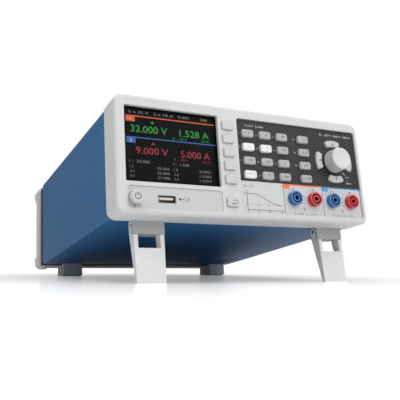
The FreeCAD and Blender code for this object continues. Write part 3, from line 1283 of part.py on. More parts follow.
def screws():
    pieces = [screw(x, z, PANEL_BACK_Y, 1) for x, z in fan_screw_places()]
    pieces += [screw(x, z, REAR_FRAME_END, 1) for x, z in frame_screw_places()]
    pieces += [screw(x, z, POST_END_Y + SHEET, 1) for x, z in post_places()]
    pieces += [screw(x, z, BOARD_Y + BOARD_THICKNESS, 1) for x, z in boss_places()]
    return Part.makeCompound(pieces)


# ---- assembly
def build_pieces():
    pieces = {
        "front_bezel": front_bezel(),
        "keypad_fascia": keypad_fascia(),
        "terminal_plate": terminal_plate(),
        "connector_plate": connector_plate(),
        "display_window": display_window(),
        "display_module": display_module(),
        "front_board": front_board(),
        "encoder_body": encoder_body(),
        "encoder_plunger": encoder_plunger(),
        "encoder_shaft": encoder_shaft(),
        "knob": knob(),
        "power_button": power_button(),
        "usb_socket": usb_socket(),
        "output_sockets_blue": output_sockets(0),
        "output_sockets_red": output_sockets(1),
        "socket_contacts": socket_contacts(),
        "cover": cover(),
        "chassis": chassis(),
        "rear_panel": rear_panel(),
        "rear_frame": rear_frame(),
        "rear_feet": rear_feet(),
        "leg_housings": leg_housings(),
        "leg_pins": leg_pins(),
        "left_tilt_leg": tilt_leg(FRONT_FOOT_LEFTS[0]),
        "right_tilt_leg": tilt_leg(FRONT_FOOT_LEFTS[1]),
        "fan_frame": fan_frame(),
        "fan_rotor": fan_rotor(),
        "mains_inlet": mains_inlet(),
        "mains_rocker": mains_rocker(),
        "fuse_drawer": fuse_drawer(),
        "transformer": transformer(),
        "heat_sink": heat_sink(),
        "main_board": main_board(),
        "screws": screws(),
    }
    for name, (x, z) in keypad_places().items():
        pieces[name] = keypad_key(x, z)
    for name, (x, z) in soft_key_places().items():
        pieces[name] = soft_key(x, z)
    for (name, angle), place in zip(arrow_angles().items(), arrow_switch_places()):
        pieces[name] = arrow_key(angle, place)
    return pieces


def tip_back(shape):
    """Turn a piece from the level case frame to the slope that it has on its legs."""
    turned = shape.copy()
    turned.rotate(Vector(0, 0, 0), Vector(1, 0, 0), -math.degrees(TILT))
    return turned


def stand_on_floor(pieces):
    """Tip every piece back and centre the whole over the origin, with its lowest point at Z = 0."""
    tipped = {name: tip_back(shape) for name, shape in pieces.items()}
    box = Part.makeCompound(list(tipped.values())).optimalBoundingBox(False, False)
    shift = Vector(-(box.XMin + box.XMax) / 2, -(box.YMin + box.YMax) / 2, -box.ZMin)
    for shape in tipped.values():
        shape.translate(shift)
    return tipped, shift


PIECES, SHIFT = stand_on_floor(build_pieces())
os.makedirs("parts", exist_ok=True)
for node, piece in PIECES.items():
    piece.exportStep(f"parts/{node}.step")
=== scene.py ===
import json
import math

import bmesh
import bpy
from mathutils import Matrix, Vector


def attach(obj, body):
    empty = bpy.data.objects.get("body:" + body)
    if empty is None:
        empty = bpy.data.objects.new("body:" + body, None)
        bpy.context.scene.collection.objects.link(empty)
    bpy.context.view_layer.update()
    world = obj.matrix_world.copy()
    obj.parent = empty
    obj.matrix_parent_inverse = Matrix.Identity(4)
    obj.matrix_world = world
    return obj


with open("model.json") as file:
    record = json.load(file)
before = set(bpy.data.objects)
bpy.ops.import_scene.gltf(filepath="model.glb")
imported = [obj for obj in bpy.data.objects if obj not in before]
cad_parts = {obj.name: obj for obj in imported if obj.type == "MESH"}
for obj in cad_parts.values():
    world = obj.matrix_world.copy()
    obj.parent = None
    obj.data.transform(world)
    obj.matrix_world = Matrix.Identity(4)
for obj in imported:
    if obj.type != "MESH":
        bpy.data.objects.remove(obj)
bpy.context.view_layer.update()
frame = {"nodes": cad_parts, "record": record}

nodes = frame["nodes"]
mounts = {mount["name"]: mount for mount in frame["record"]["mounts"]}


# ---- The case leans back on its legs
# Every new piece is drawn in the level case, in millimetres: X to the right, Y towards the rear, Z up, from
# the lower left front corner of the bezel. FROM_CASE takes a finished shape to its place on the table.
outward = Vector(mounts["output_1_negative"]["axis"])
right = Vector((1, 0, 0))
turn = Matrix((right, -outward, outward.cross(right)))
corner = [min((turn @ v.co)[i] for v in nodes["front_bezel"].data.vertices) for i in range(3)]
TO_CASE = Matrix.Scale(1000, 4) @ Matrix.Translation(-Vector(corner)) @ turn.to_4x4()
FROM_CASE = TO_CASE.inverted()


def extent(node):
    """Lowest and highest corner of a CAD node in the level case."""
    points = [TO_CASE @ v.co for v in nodes[node].data.vertices]
    low = Vector([min(p[i] for p in points) for i in range(3)])
    high = Vector([max(p[i] for p in points) for i in range(3)])
    return low, high


# ---- Front bezel, rear frame, tilt legs and their housings: ABS
# Grey ABS, injection moulded against a spark-eroded tool, so the eye sees an even, dry surface with a fine
# grain and no gloss. The bezel carries all the front panels; the legs have their own grey, and the housings a
# darker grey that is partly painted shade from under the case.
def colour(code):
    """Linear colour of an sRGB hex value."""
    parts = [int(code[i:i + 2], 16) / 255 for i in (1, 3, 5)]
    linear = [p / 12.92 if p <= 0.04045 else ((p + 0.055) / 1.055) ** 2.4 for p in parts]
    return (*linear, 1.0)


def add_node(material, kind, inputs=None, **settings):
    """One shader node; each input gets a value, or a link from another node's output."""
    made = material.node_tree.nodes.new("ShaderNode" + kind)
    for name, value in settings.items():
        setattr(made, name, value)
    for name, value in (inputs or {}).items():
        if isinstance(value, bpy.types.NodeSocket):
            material.node_tree.links.new(value, made.inputs[name])
        else:
            made.inputs[name].default_value = value
    return made


def surface(name, roughness, **sockets):
    """A new material with its Principled shader and the object's own coordinates."""
    material = bpy.data.materials.new(name)
    material.use_nodes = True
    shader = material.node_tree.nodes["Principled BSDF"]
    shader.inputs["Roughness"].default_value = roughness
    for socket, value in sockets.items():
        shader.inputs[socket.replace("_", " ")].default_value = value
    return material, shader, add_node(material, "TexCoord").outputs["Object"]


def drive(material, shader, socket, output):
    material.node_tree.links.new(output, shader.inputs[socket])


def noise(material, place, size_mm, detail=2.0, roughness=0.5):
    """Cloudy pattern whose features are about size_mm across."""
    inputs = {"Vector": place, "Scale": 1000 / size_mm, "Detail": detail, "Roughness": roughness}
    return add_node(material, "TexNoise", inputs).outputs["Fac"]


def between(material, factor, first, second):
    """Colour that goes from first to second with the factor."""
    mix = add_node(material, "Mix", {0: factor, 6: colour(first), 7: colour(second)}, data_type="RGBA")
    return mix.outputs[2]


def spread(material, value, low, high, start=0.3, end=0.7):
    """Value stretched from start..end to low..high."""
    inputs = {"Value": value, "From Min": start, "From Max": end, "To Min": low, "To Max": high}
    return add_node(material, "MapRange", inputs).outputs["Result"]


def grain_bump(material, shader, height, depth_mm):
    bump = add_node(material, "Bump", {"Height": height, "Distance": depth_mm / 1000})
    drive(material, shader, "Normal", bump.outputs["Normal"])


HANDLING = 28.0     # width of the faint patches that hands leave
GRAIN = 0.45        # the real grain is about 0.1 mm, drawn coarser so that it shows


def moulded_plastic(name, dark, light, roughness, depth=0.012):
    """ABS with faint clouding from handling, and a spark-eroded grain."""
    material, shader, place = surface(name, roughness, IOR=1.53)
    clouds = noise(material, place, HANDLING, 3.0)
    drive(material, shader, "Base Color", between(material, clouds, dark, light))
    skin = noise(material, place, GRAIN, 3.0, 0.6)
    drive(material, shader, "Roughness", spread(material, skin, roughness - 0.06, roughness + 0.08))
    grain_bump(material, shader, skin, depth)
    return material


def coat(material, *names):
    for name in names:
        data = nodes[name].data
        data.materials.clear()
        data.materials.append(material)


light_abs = moulded_plastic("light grey ABS, spark-eroded grain", "#CDCDCD", "#D8D8D8", 0.5)
coat(light_abs, "front_bezel", "rear_frame")
coat(moulded_plastic("pale ABS tilt leg", "#E4E4E4", "#EBEBEB", 0.45), "left_tilt_leg", "right_tilt_leg")
# painted shade: the housings' grey is darkened for the shadow they sit in under the case
coat(moulded_plastic("mid grey ABS foot, darkened as painted shade", "#ACAEAF", "#B4B6B7", 0.5), "leg_housings")


# ---- Panels let into the bezel: printed polycarbonate film on a flat plate
# The keypad's panel is printed dark grey and the two others light grey, all with a fine matt texture.
# They are glued into pockets of the bezel and carry the printed marks.
def printed_film(name, dark, light):
    """Velvet-finish film: very even, with a fine stipple that breaks up reflections."""
    material, shader, place = surface(name, 0.5, Specular_IOR_Level=0.3)
    clouds = noise(material, place, 45.0, 2.0)
    drive(material, shader, "Base Color", between(material, clouds, dark, light))
    stipple = noise(material, place, 0.35, 2.0)
    drive(material, shader, "Roughness", spread(material, stipple, 0.42, 0.56))
    grain_bump(material, shader, stipple, 0.006)
    return material


coat(printed_film("dark grey velvet film", "#28282A", "#2F2F31"), "keypad_fascia")
coat(printed_film("light grey velvet film", "#CDCECE", "#D4D5D5"), "terminal_plate")
coat(printed_film("pale grey velvet film", "#C6C7C8", "#CDCECF"), "connector_plate")

INK = 0.05          # thickness of a printed layer
CAPITAL = 0.69      # height of a capital letter as a share of the font's size


def outline_mesh(curve):
    """Mesh of a text or line curve, which is then thrown away."""
    holder = bpy.data.objects.new("outline", curve)
    bpy.context.scene.collection.objects.link(holder)
    bpy.context.view_layer.update()
    made = bpy.data.meshes.new_from_object(holder)
    bpy.data.objects.remove(holder)
    bpy.data.curves.remove(curve)
    return made


def lettering(words, x, y, z, height, width=None, align="LEFT"):
    """Digits or units in relief, standing on the plane y; a width squeezes or stretches them."""
    curve = bpy.data.curves.new("lettering", "FONT")
    curve.body = words
    curve.size = height / CAPITAL
    curve.extrude = INK / 2
    curve.resolution_u = 4
    made = outline_mesh(curve)
    xs = [v.co.x for v in made.vertices]
    span = max(xs) - min(xs)
    stretch = width / span if width else 1.0
    shift = {"LEFT": 0.0, "CENTER": -span * stretch / 2, "RIGHT": -span * stretch}[align]
    made.transform(Matrix.Diagonal((stretch, 1, 1, 1)) @ Matrix.Translation((-min(xs), 0, 0)))
    made.transform(Matrix.Translation((x + shift, y - INK / 2, z)) @ Matrix.Rotation(math.pi / 2, 4, "X"))
    return made


def line(points, y, width, closed=False):
    """Printed line through points (x, z), standing on the plane y."""
    curve = bpy.data.curves.new("line", "CURVE")
    curve.dimensions = "3D"
    curve.bevel_depth = width / 2
    curve.bevel_resolution = 1
    curve.use_fill_caps = True
    spline = curve.splines.new("POLY")
    spline.points.add(len(points) - 1)
    for point, (x, z) in zip(spline.points, points):
        point.co = (x, 0, z, 1)
    spline.use_cyclic_u = closed
    made = outline_mesh(curve)
    made.transform(Matrix.Translation((0, y - INK / 2, 0)) @ Matrix.Diagonal((1, INK / width, 1, 1)))
    return made


def arc(x, z, radius, start, end, steps=24):
    """Points on an arc, from start to end in degrees."""
    turns = [math.radians(start + (end - start) * i / steps) for i in range(steps + 1)]
    return [(x + radius * math.cos(a), z + radius * math.sin(a)) for a in turns]


def patch(points, y):
    """Filled printed shape with corners (x, z), standing on the plane y."""
    shape = bmesh.new()
    face = shape.faces.new([shape.verts.new((x, y, z)) for x, z in points])
    grown = bmesh.ops.extrude_face_region(shape, geom=[face])
    moved = [item for item in grown["geom"] if isinstance(item, bmesh.types.BMVert)]
    bmesh.ops.translate(shape, verts=moved, vec=(0, -INK, 0))
    made = bpy.data.meshes.new("patch")
    shape.to_mesh(made)
    shape.free()
    return made


def bar(x0, x1, z0, z1, y):
    return patch([(x0, z0), (x1, z0), (x1, z1), (x0, z1)], y)


CREASE = math.radians(30)       # edges sharper than this stay crisp


def finish_piece(name, shape, material, body):
    """Puts a shape drawn in the level case in its place and lets it ride on a body."""
    bmesh.ops.recalc_face_normals(shape, faces=shape.faces)
    shape.transform(FROM_CASE)
    for face in shape.faces:
        face.smooth = True
    data = bpy.data.meshes.new(name)
    shape.to_mesh(data)
    shape.free()
    data.set_sharp_from_angle(angle=CREASE)
    data.materials.append(material)
    made = bpy.data.objects.new(name, data)
    bpy.context.scene.collection.objects.link(made)
    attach(made, body)


def print_on(name, parts, material, body):
    """One printed layer from several meshes."""
    whole = bmesh.new()
    for part in parts:
        whole.from_mesh(part)
        bpy.data.meshes.remove(part)
    finish_piece(name, whole, material, body)


def ink(name, dark, light):
    """Screen-printed ink: solid, with the slight unevenness of the mesh it was pushed through."""
    material, shader, place = surface(name, 0.45)
    mesh_marks = noise(material, place, 0.8, 2.0)
    drive(material, shader, "Base Color", between(material, mesh_marks, dark, light))
    grain_bump(material, shader, mesh_marks, 0.004)
    return material


white_ink = ink("white screen ink", "#E4E4E4", "#F2F2F2")
grey_ink = ink("dark grey screen ink", "#2E2E30", "#38383A")
orange_ink = ink("orange screen ink", "#EE6F22", "#F67F33")
blue_ink = ink("blue screen ink", "#1C86C6", "#2A95D2")

fascia_low, fascia_high = extent("keypad_fascia")
plate_low, plate_high = extent("terminal_plate")
fascia_y = fascia_low.y
plate_y = plate_low.y
seam = plate_high.z

# Ratings in plain numbers along the top of the dark panel.
TITLE_Z = fascia_high.z - 5.4
TITLE = 1.5
RANGE_TITLE = 1.7
titles = [
    lettering("2 x 32 V   2 x 10 A", fascia_low.x + 8.6, fascia_y, TITLE_Z, TITLE, 17.0),
    lettering("0 ... 32 V", fascia_high.x - 24.0, fascia_y, TITLE_Z, RANGE_TITLE, 11.8, "RIGHT"),
    lettering("0.001 V   0.001 A", fascia_high.x - 3.0, fascia_y, TITLE_Z, TITLE, 18.5, "RIGHT"),
]
print_on("print_ratings", titles, white_ink, "case")

# Coloured bars and tabs that tell the two outputs apart. The dividers run down from them.
socket_x = {}
for number, name in enumerate(sorted(n for n in mounts if n.startswith("output_"))):
    socket_x[name] = (TO_CASE @ Vector(mounts[name]["pos_m"])).x
socket_z = (TO_CASE @ Vector(mounts["output_1_negative"]["pos_m"])).z
pitch = socket_x["output_1_positive"] - socket_x["output_1_negative"]
first_edge = socket_x["output_1_negative"] - pitch / 2
second_edge = socket_x["output_2_negative"] - pitch / 2
BAR = 1.1
TAB_WIDTH = 5.9
TAB_HEIGHT = 2.9
TAB_NUMBER = 1.8
RULE = 0.45         # width of the dividers and of the chart's axes


def output_band(left, end, marks, material, number):
    """Bar along the top of one output's sockets, with a numbered tab at its left end."""
    below = seam - BAR - TAB_HEIGHT
    parts = [
        bar(left, end, seam - BAR, seam, plate_y),
        bar(left, left + TAB_WIDTH, below, seam - BAR, plate_y),
    ]
    print_on(f"print_band_{number}", parts, material, "case")
    words = lettering(marks, left + TAB_WIDTH / 2, plate_y - INK, below + 0.6, TAB_NUMBER, align="CENTER")
    print_on(f"print_band_mark_{number}", [words], white_ink, "case")


output_band(first_edge, second_edge, "1", orange_ink, 1)
output_band(second_edge, plate_high.x, "2", blue_ink, 2)

DIVIDER_BOTTOM = plate_low.z + 0.6
dividers = [line([(x, DIVIDER_BOTTOM), (x, seam - BAR)], plate_y, RULE) for x in (first_edge, second_edge)]
print_on("print_dividers", dividers, grey_ink, "case")

# Polarity signs over the sockets; between each pair a small ring, a link and an earth sign; the limits below.
SIGN_Z = socket_z + 8.2
SIGN = 0.85
SIGN_LINE = 0.55
THIN_LINE = 0.3
RING_Z = socket_z + 0.8
RING_RADIUS = 1.7
LINK_Z = socket_z - 3.4
LINK_HALF = 2.6
EARTH_TOP = socket_z - 8.0
EARTH_STEM = 1.9
EARTH_BARS = (1.7, 1.1, 0.5)
EARTH_STEP = 0.7
EARTH_LINE = 0.35
LIMITS_Z = plate_low.z + 0.7
signs = []
for name, x in socket_x.items():
    signs.append(line([(x - SIGN, SIGN_Z), (x + SIGN, SIGN_Z)], plate_y, SIGN_LINE))
    if name.endswith("positive"):
        signs.append(line([(x, SIGN_Z - SIGN), (x, SIGN_Z + SIGN)], plate_y, SIGN_LINE))
for name in ("output_1_negative", "output_2_negative"):
    x = socket_x[name] + pitch / 2
    signs.append(line(arc(x, RING_Z, RING_RADIUS, 0, 345), plate_y, THIN_LINE, closed=True))
    signs.append(line([(x - LINK_HALF, LINK_Z), (x + LINK_HALF, LINK_Z)], plate_y, THIN_LINE))
    signs.append(line([(x, EARTH_TOP + EARTH_STEM), (x, EARTH_TOP)], plate_y, EARTH_LINE))
    for step, half in enumerate(EARTH_BARS):
        z = EARTH_TOP - EARTH_STEP * step
        signs.append(line([(x - half, z), (x + half, z)], plate_y, EARTH_LINE))
    signs.append(lettering("0 ... 32 V   0 ... 10 A", x, plate_y, LIMITS_Z, 1.25, 21.0, "CENTER"))
print_on("print_signs", signs, grey_ink, "case")

# A small chart of current over voltage, with its axes, helper lines and numbers.
CHART_LEFT = plate_low.x + 5.4
CHART_RIGHT = CHART_LEFT + 31.0
CHART_BOTTOM = plate_low.z + 2.7
CHART_TOP = CHART_BOTTOM + 15.5
KNEE_X = CHART_LEFT + 9.6
KNEE_Z = CHART_BOTTOM + 12.7
MIDDLE_X = KNEE_X + 10.0
END_Z = CHART_BOTTOM + 4.2
CURVE_LINE = 0.5
HAIRLINE = 0.16
FINE_PRINT = 1.3
steps = [i / 12 for i in range(13)]
fall = [(KNEE_X + (CHART_RIGHT - KNEE_X) * t, END_Z + (KNEE_Z - END_Z) * (1 - t) ** 1.55) for t in steps]
chart = [
    line([(CHART_LEFT, CHART_TOP), (CHART_LEFT, CHART_BOTTOM)], plate_y, RULE),
    line([(CHART_LEFT, CHART_BOTTOM), (CHART_RIGHT + 2, CHART_BOTTOM)], plate_y, RULE),
    line([(CHART_LEFT, KNEE_Z)] + fall, plate_y, CURVE_LINE),
    line([(CHART_LEFT, END_Z), (CHART_RIGHT, END_Z), (CHART_RIGHT, CHART_BOTTOM)], plate_y, HAIRLINE),
    line([(KNEE_X, KNEE_Z), (KNEE_X, CHART_BOTTOM)], plate_y, HAIRLINE),
    line([(MIDDLE_X, CHART_BOTTOM), (MIDDLE_X, END_Z + 3.0)], plate_y, HAIRLINE),
    lettering("A / V", CHART_LEFT - 2.4, plate_y, seam - 4.9, 1.9, 8.0),
]
for words, x in (("0", CHART_LEFT), ("10", KNEE_X), ("20", MIDDLE_X), ("32", CHART_RIGHT)):
    chart.append(lettering(words, x, plate_y, CHART_BOTTOM - 2.0, FINE_PRINT, align="CENTER"))
for words, z in (("10", KNEE_Z - 0.6), ("3", END_Z - 0.6)):
    chart.append(lettering(words, CHART_LEFT - 1.0, plate_y, z, FINE_PRINT, align="RIGHT"))
print_on("print_chart", chart, grey_ink, "case")


# ---- Display: a liquid crystal module behind an acrylic window
# The module is dark glass lit faintly from behind; the window is clear acrylic, glued into a rebate of the
# bezel. The lit figures are thin shapes on the module's face, in plain numbers and units.
window, window_shader, window_place = surface("clear anti-glare acrylic", 0.2, IOR=1.49, Alpha=0.1)
window_shader.inputs["Base Color"].default_value = colour("#101112")
window_shader.inputs["Specular IOR Level"].default_value = 0.08
smears = noise(window, window_place, 22.0, 4.0)
drive(window, window_shader, "Roughness", spread(window, smears, 0.14, 0.26))
coat(window, "display_window")

dark_glass, glass_shader, glass_place = surface("dark liquid crystal glass", 0.4, Specular_IOR_Level=0.05)
cells = add_node(dark_glass, "TexChecker", {"Vector": glass_place, "Scale": 1000 / 0.5})
cells.inputs["Color1"].default_value = colour("#050608")
cells.inputs["Color2"].default_value = colour("#090A0D")
drive(dark_glass, glass_shader, "Base Color", cells.outputs["Color"])
backlight = noise(dark_glass, glass_place, 60.0)
glass_shader.inputs["Emission Color"].default_value = colour("#20262C")
drive(dark_glass, glass_shader, "Emission Strength", spread(dark_glass, backlight, 0.02, 0.08))
coat(dark_glass, "display_module")

WAVE = math.tau / 20    # a Wave texture of scale 1 repeats once in this length
ROWS = 0.4 * math.tau   # rows of cells, drawn ten times coarser than real ones so that they show


def lit(name, tone, strength):
    """Lit cells of the display: light that is a little weaker between the rows."""
    material, shader, place = surface(name, 0.4)
    shader.inputs["Base Color"].default_value = colour("#050505")
    shader.inputs["Emission Color"].default_value = colour(tone)
    rows = add_node(material, "TexWave", {"Vector": place, "Scale": 1000 * WAVE / ROWS}, bands_direction="Z")
    light = spread(material, rows.outputs["Fac"], strength * 0.8, strength, 0.0, 1.0)
    drive(material, shader, "Emission Strength", light)
    return material


lit_green = lit("green display cells", "#1CB43A", 0.85)
lit_red = lit("red display cells", "#CC1824", 0.62)
lit_orange = lit("orange display cells", "#EE6010", 0.95)
lit_blue = lit("blue display cells", "#0C6AC0", 0.9)
lit_grey = lit("grey display cells", "#9A9C9E", 0.7)
lit_white = lit("white display cells", "#F4F4F4", 1.0)

module_low, module_high = extent("display_module")
screen_y = module_low.y
screen_x = module_low.x
screen_top = module_high.z
RULE_HALF = 0.42
LABEL_LEFT = 4.1
LABEL_WIDTH = 7.0
LABEL_HEIGHT = 3.9
DIGIT = 5.2
DIGIT_DROP = 12.2   # from a block's rule down to the foot of its readings
VOLTS_END = 36.4    # columns are measured from the screen's left edge
AMPS_START = 40.8
AMPS_END = 71.1
LIMIT = 1.5
LIMIT_DROP = 2.9


def reading(number, drop, volts, amps, material, rule, mark):
    """One output's block on the display: a coloured rule with a label, and its two readings."""
    z = screen_top - drop
    left = screen_x + LABEL_LEFT
    below = z - RULE_HALF - LABEL_HEIGHT
    rule_parts = [
        bar(left, module_high.x - 1.9, z - RULE_HALF, z + RULE_HALF, screen_y),
        bar(left, left + LABEL_WIDTH, below, z - RULE_HALF, screen_y),
    ]
    print_on(f"display_rule_{number}", rule_parts, rule, "case")
    middle = left + LABEL_WIDTH / 2
    words = lettering(mark, middle, screen_y - INK, below + 0.9, 2.1, align="CENTER")
    print_on(f"display_label_{number}", [words], lit_white, "case")
    base = z - DIGIT_DROP
    digits = [
        lettering(volts, screen_x + VOLTS_END, screen_y, base, DIGIT, len(volts) * 3.6, "RIGHT"),
        lettering(amps, screen_x + AMPS_END, screen_y, base, DIGIT, len(amps) * 3.5, "RIGHT"),
        lettering("0 ... 32 V", screen_x + AMPS_START, screen_y, base - LIMIT_DROP, LIMIT, 11.5),
        lettering("50 W", screen_x + AMPS_END, screen_y, base - LIMIT_DROP, LIMIT, 6.5, "RIGHT"),
        patch([(screen_x + 23.4, z - 4.6), (screen_x + 26.2, z - 4.6), (screen_x + 24.8, z - 2.6)], screen_y),
    ]
    print_on(f"display_reading_{number}", digits, material, "case")


reading(1, 7.7, "32.000 V", "1.528 A", lit_green, lit_orange, "1")
reading(2, 24.2, "9.000 V", "5.000 A", lit_red, lit_blue, "2")

STATUS = 1.9
STATUS_Z = screen_top - 5.4
LIST_TOP = screen_top - 43.2
LIST_STEP = 3.6
FIGURE = 1.8
status = [
    lettering("2 x 32 V   2 x 10 A   0.001", screen_x + 6.2, screen_y, STATUS_Z, STATUS, 49.0),
    lettering("1 :  32.000", screen_x + 6.0, screen_y, LIST_TOP, 2.0, 15.5),
    lettering("1 :  1.528", screen_x + 40.4, screen_y, LIST_TOP, 2.0, 12.5),
]
columns = (
    (6.0, 36.8, "V", ("32.002", "32.000", "31.998")),
    (40.4, 71.0, "A", ("0.0001", "1.5280", "1.5279")),
)
for start, end, unit, values in columns:
    for row, value in enumerate(values):
        z = LIST_TOP - 4.1 - LIST_STEP * row
        status.append(lettering(f"{row + 1} {unit}", screen_x + start, screen_y, z, FIGURE))
        status.append(lettering(value, screen_x + end, screen_y, z, FIGURE, 9.6, "RIGHT"))
print_on("display_small_figures", status, lit_grey, "case")
clock = [lettering("12:00", screen_x + 65.0, screen_y, STATUS_Z, STATUS)]
print_on("display_clock", clock, lit("yellow display cells", "#C8B040", 0.8), "case")


# ---- Keypad keys, soft keys and the back key
# Hard-capped keys in mid grey ABS, with marks printed on their faces. Three have milky caps, lit from behind
# by a lamp on the front board, so they glow white. The soft keys and the back key are a paler grey.
key_abs = moulded_plastic("mid grey ABS key cap", "#A6A6A7", "#B0B0B1", 0.42, 0.008)


def glowing_cap():
    """Milky polycarbonate lit from behind, brightest in the middle of the lamp."""
    material, shader, place = surface("lit milky polycarbonate", 0.35, IOR=1.58)
    shader.inputs["Base Color"].default_value = colour("#E2E2E2")
    shader.inputs["Emission Color"].default_value = colour("#FFFFFF")
    clouds = noise(material, place, 6.0)
    drive(material, shader, "Emission Strength", spread(material, clouds, 0.0, 0.06))
    grain_bump(material, shader, noise(material, place, GRAIN, 3.0), 0.006)
    return material


lit_cap = glowing_cap()
pale_ink = ink("pale grey screen ink", "#8A8A8C", "#969698")
KEY_MARKS = (
    ("V", "A", "W", "x 1"),
    ("1", "2", "1+2", "x 10"),
    ("mV", "mA", "s", "x 0.1"),
    ("0 / 1", "%", "min", "x 100"),
)
SIDE_MARKS = (
    ("1", "2", "3", "1 V"),
    ("4", "5", "6", "1 A"),
    ("7", "8", "9", "0.1"),
    (".", "0", "-", ""),
)
LIT_KEYS = ("keypad_key_2_1", "keypad_key_2_2", "keypad_key_4_1")
MARK = 2.1
MARK_SHIFT = 0.6    # the marks stand a little right of and above the middle of a key
MARK_RAISE = 0.2
side_marks = []
for row, marks in enumerate(KEY_MARKS, 1):
    for column, words in enumerate(marks, 1):
        name = f"keypad_key_{row}_{column}"
        low, high = extent(name)
        centre = (low + high) / 2
        coat(lit_cap if name in LIT_KEYS else key_abs, name)
        mark_z = centre.z - MARK / 2 + MARK_RAISE
        label = lettering(words, centre.x + MARK_SHIFT, low.y, mark_z, MARK, align="CENTER")
        print_on(f"mark_{name}", [label], pale_ink if name in LIT_KEYS else grey_ink, name)
        side_mark = SIDE_MARKS[row - 1][column - 1]
        if side_mark:
            side_z = centre.z - 0.6
            side_marks.append(lettering(side_mark, low.x - 0.8, fascia_y, side_z, FINE_PRINT, align="RIGHT"))
print_on("print_key_numbers", side_marks, white_ink, "case")

soft_abs = moulded_plastic("light grey ABS key cap", "#C4C4C5", "#CECECF", 0.45, 0.008)
soft_keys = [name for name in nodes if name.startswith("soft_key_")] + ["back_key"]
coat(soft_abs, *soft_keys)

SYMBOL_LINE = 0.4
low, high = extent("back_key")
centre = (low + high) / 2
back_mark = [
    line([(centre.x + dx, centre.z + dz) for dx, dz in ((0.2, 1.5), (3.4, 1.5), (3.4, -1.1), (0.2, -1.1))],
         low.y, SYMBOL_LINE),
    patch([(centre.x + dx, centre.z + dz) for dx, dz in ((-1.2, -1.1), (0.5, -2.0), (0.5, -0.2))], low.y),
]
print_on("mark_back_key", back_mark, grey_ink, "back_key")


# ---- Power button and the USB socket beside it
# The button is a round cap, a shade darker than the bezel, with the usual on-off sign; the socket is a tinned
# steel shell round a white plastic tongue that carries four gold-plated strips.
coat(moulded_plastic("light grey ABS button", "#C2C2C2", "#CCCCCC", 0.4, 0.006), "power_button")
low, high = extent("power_button")
button = (low + high) / 2
SIGN_RADIUS = 2.2
POWER_LINE = 0.65
power_sign = [
    line(arc(button.x, button.z, SIGN_RADIUS, 118, 422), low.y, POWER_LINE),
    line([(button.x, button.z + 0.3), (button.x, button.z + SIGN_RADIUS + 0.5)], low.y, POWER_LINE),
]
print_on("mark_power_button", power_sign, grey_ink, "power_button")

connector_low = extent("connector_plate")[0]
connector_y = connector_low.y
usb_low, usb_high = extent("usb_socket")
usb_mid = (usb_low + usb_high) / 2
beside = usb_high.x + 3.2
level = usb_mid.z + 0.5
plug_sign = [
    lettering("0 / 1", button.x + 1.0, connector_y, connector_low.z + 0.4, 1.9, align="CENTER"),
    line([(beside, level), (beside + 3.0, level)], connector_y, SYMBOL_LINE),
    patch(arc(beside, level, 0.85, 0, 345, 16), connector_y),
    line([(beside + dx, level + dz) for dx, dz in ((3.0, -1.2), (3.0, 1.2), (6.2, 1.2), (6.2, -1.2))],
         connector_y, SYMBOL_LINE, closed=True),
    line([(beside + 6.2, level + 0.6), (beside + 8.0, level + 0.6)], connector_y, SYMBOL_LINE),
    line([(beside + 6.2, level - 0.6), (beside + 8.0, level - 0.6)], connector_y, SYMBOL_LINE),
]
print_on("print_connector_signs", plug_sign, grey_ink, "case")


def plated_metal(name, dark, light, roughness, streak_mm=(8.0, 8.0, 0.5)):
    """Bare or plated metal with fine streaks along two directions."""
    material, shader, place = surface(name, roughness, Metallic=1.0)
    stretch = add_node(material, "Mapping", {"Vector": place, "Scale": tuple(1000 / s for s in streak_mm)})
    inputs = {"Vector": stretch.outputs["Vector"], "Scale": 1.0, "Detail": 3.0}
    streaks = add_node(material, "TexNoise", inputs).outputs["Fac"]
    drive(material, shader, "Base Color", between(material, streaks, dark, light))
    drive(material, shader, "Roughness", spread(material, streaks, roughness - 0.08, roughness + 0.1))
    grain_bump(material, shader, streaks, 0.004)
    return material


coat(plated_metal("tinned steel shell", "#8A8882", "#A8A69E", 0.36), "usb_socket")
white_pbt = moulded_plastic("white PBT tongue", "#DEDCD2", "#ECEAE0", 0.4, 0.004)
gold = plated_metal("gold-plated contact strip", "#C89A4A", "#DDB566", 0.22)


def rounded_box(low, high, radius, segments=2):
    """Closed box between two corners, with all its edges rounded."""
    shape = bmesh.new()
    bmesh.ops.create_cube(shape, size=1.0)
    size = Vector(high) - Vector(low)
    bmesh.ops.scale(shape, verts=shape.verts, vec=size)
    bmesh.ops.translate(shape, verts=shape.verts, vec=(Vector(low) + Vector(high)) / 2)
    rounding = {"offset": radius, "segments": segments, "profile": 0.5, "affect": "EDGES", "material": -1}
    bmesh.ops.bevel(shape, geom=shape.edges[:], **rounding)
    return shape


# The tongue's plastic sleeve covers the plain tongue of the socket by a hair.
SLEEVE = 0.03
TONGUE_WIDTH = 11.1
TONGUE_THICKNESS = 1.84
TONGUE_RAISE = 0.8
TONGUE_RECESS = 1.6
STRIP_PITCH = 2.3
tongue_z = usb_mid.z + TONGUE_RAISE
half_width = TONGUE_WIDTH / 2 + SLEEVE
half_height = TONGUE_THICKNESS / 2 + SLEEVE
tongue_low = (usb_mid.x - half_width, usb_low.y + TONGUE_RECESS - SLEEVE, tongue_z - half_height)
tongue_high = (usb_mid.x + half_width, usb_high.y - 1.6, tongue_z + half_height)
finish_piece("usb_tongue", rounded_box(tongue_low, tongue_high, 0.2), white_pbt, "case")
for strip in range(4):
    x = usb_mid.x + (strip - 1.5) * STRIP_PITCH
    strip_low = (x - 0.5, tongue_low[1] + 0.7, tongue_low[2] - 0.08)
    strip_high = (x + 0.5, tongue_high[1] - 0.5, tongue_low[2] + 0.06)
    contact = rounded_box(strip_low, strip_high, 0.03)
    finish_piece(f"usb_contact_{strip + 1}", contact, gold, "case")
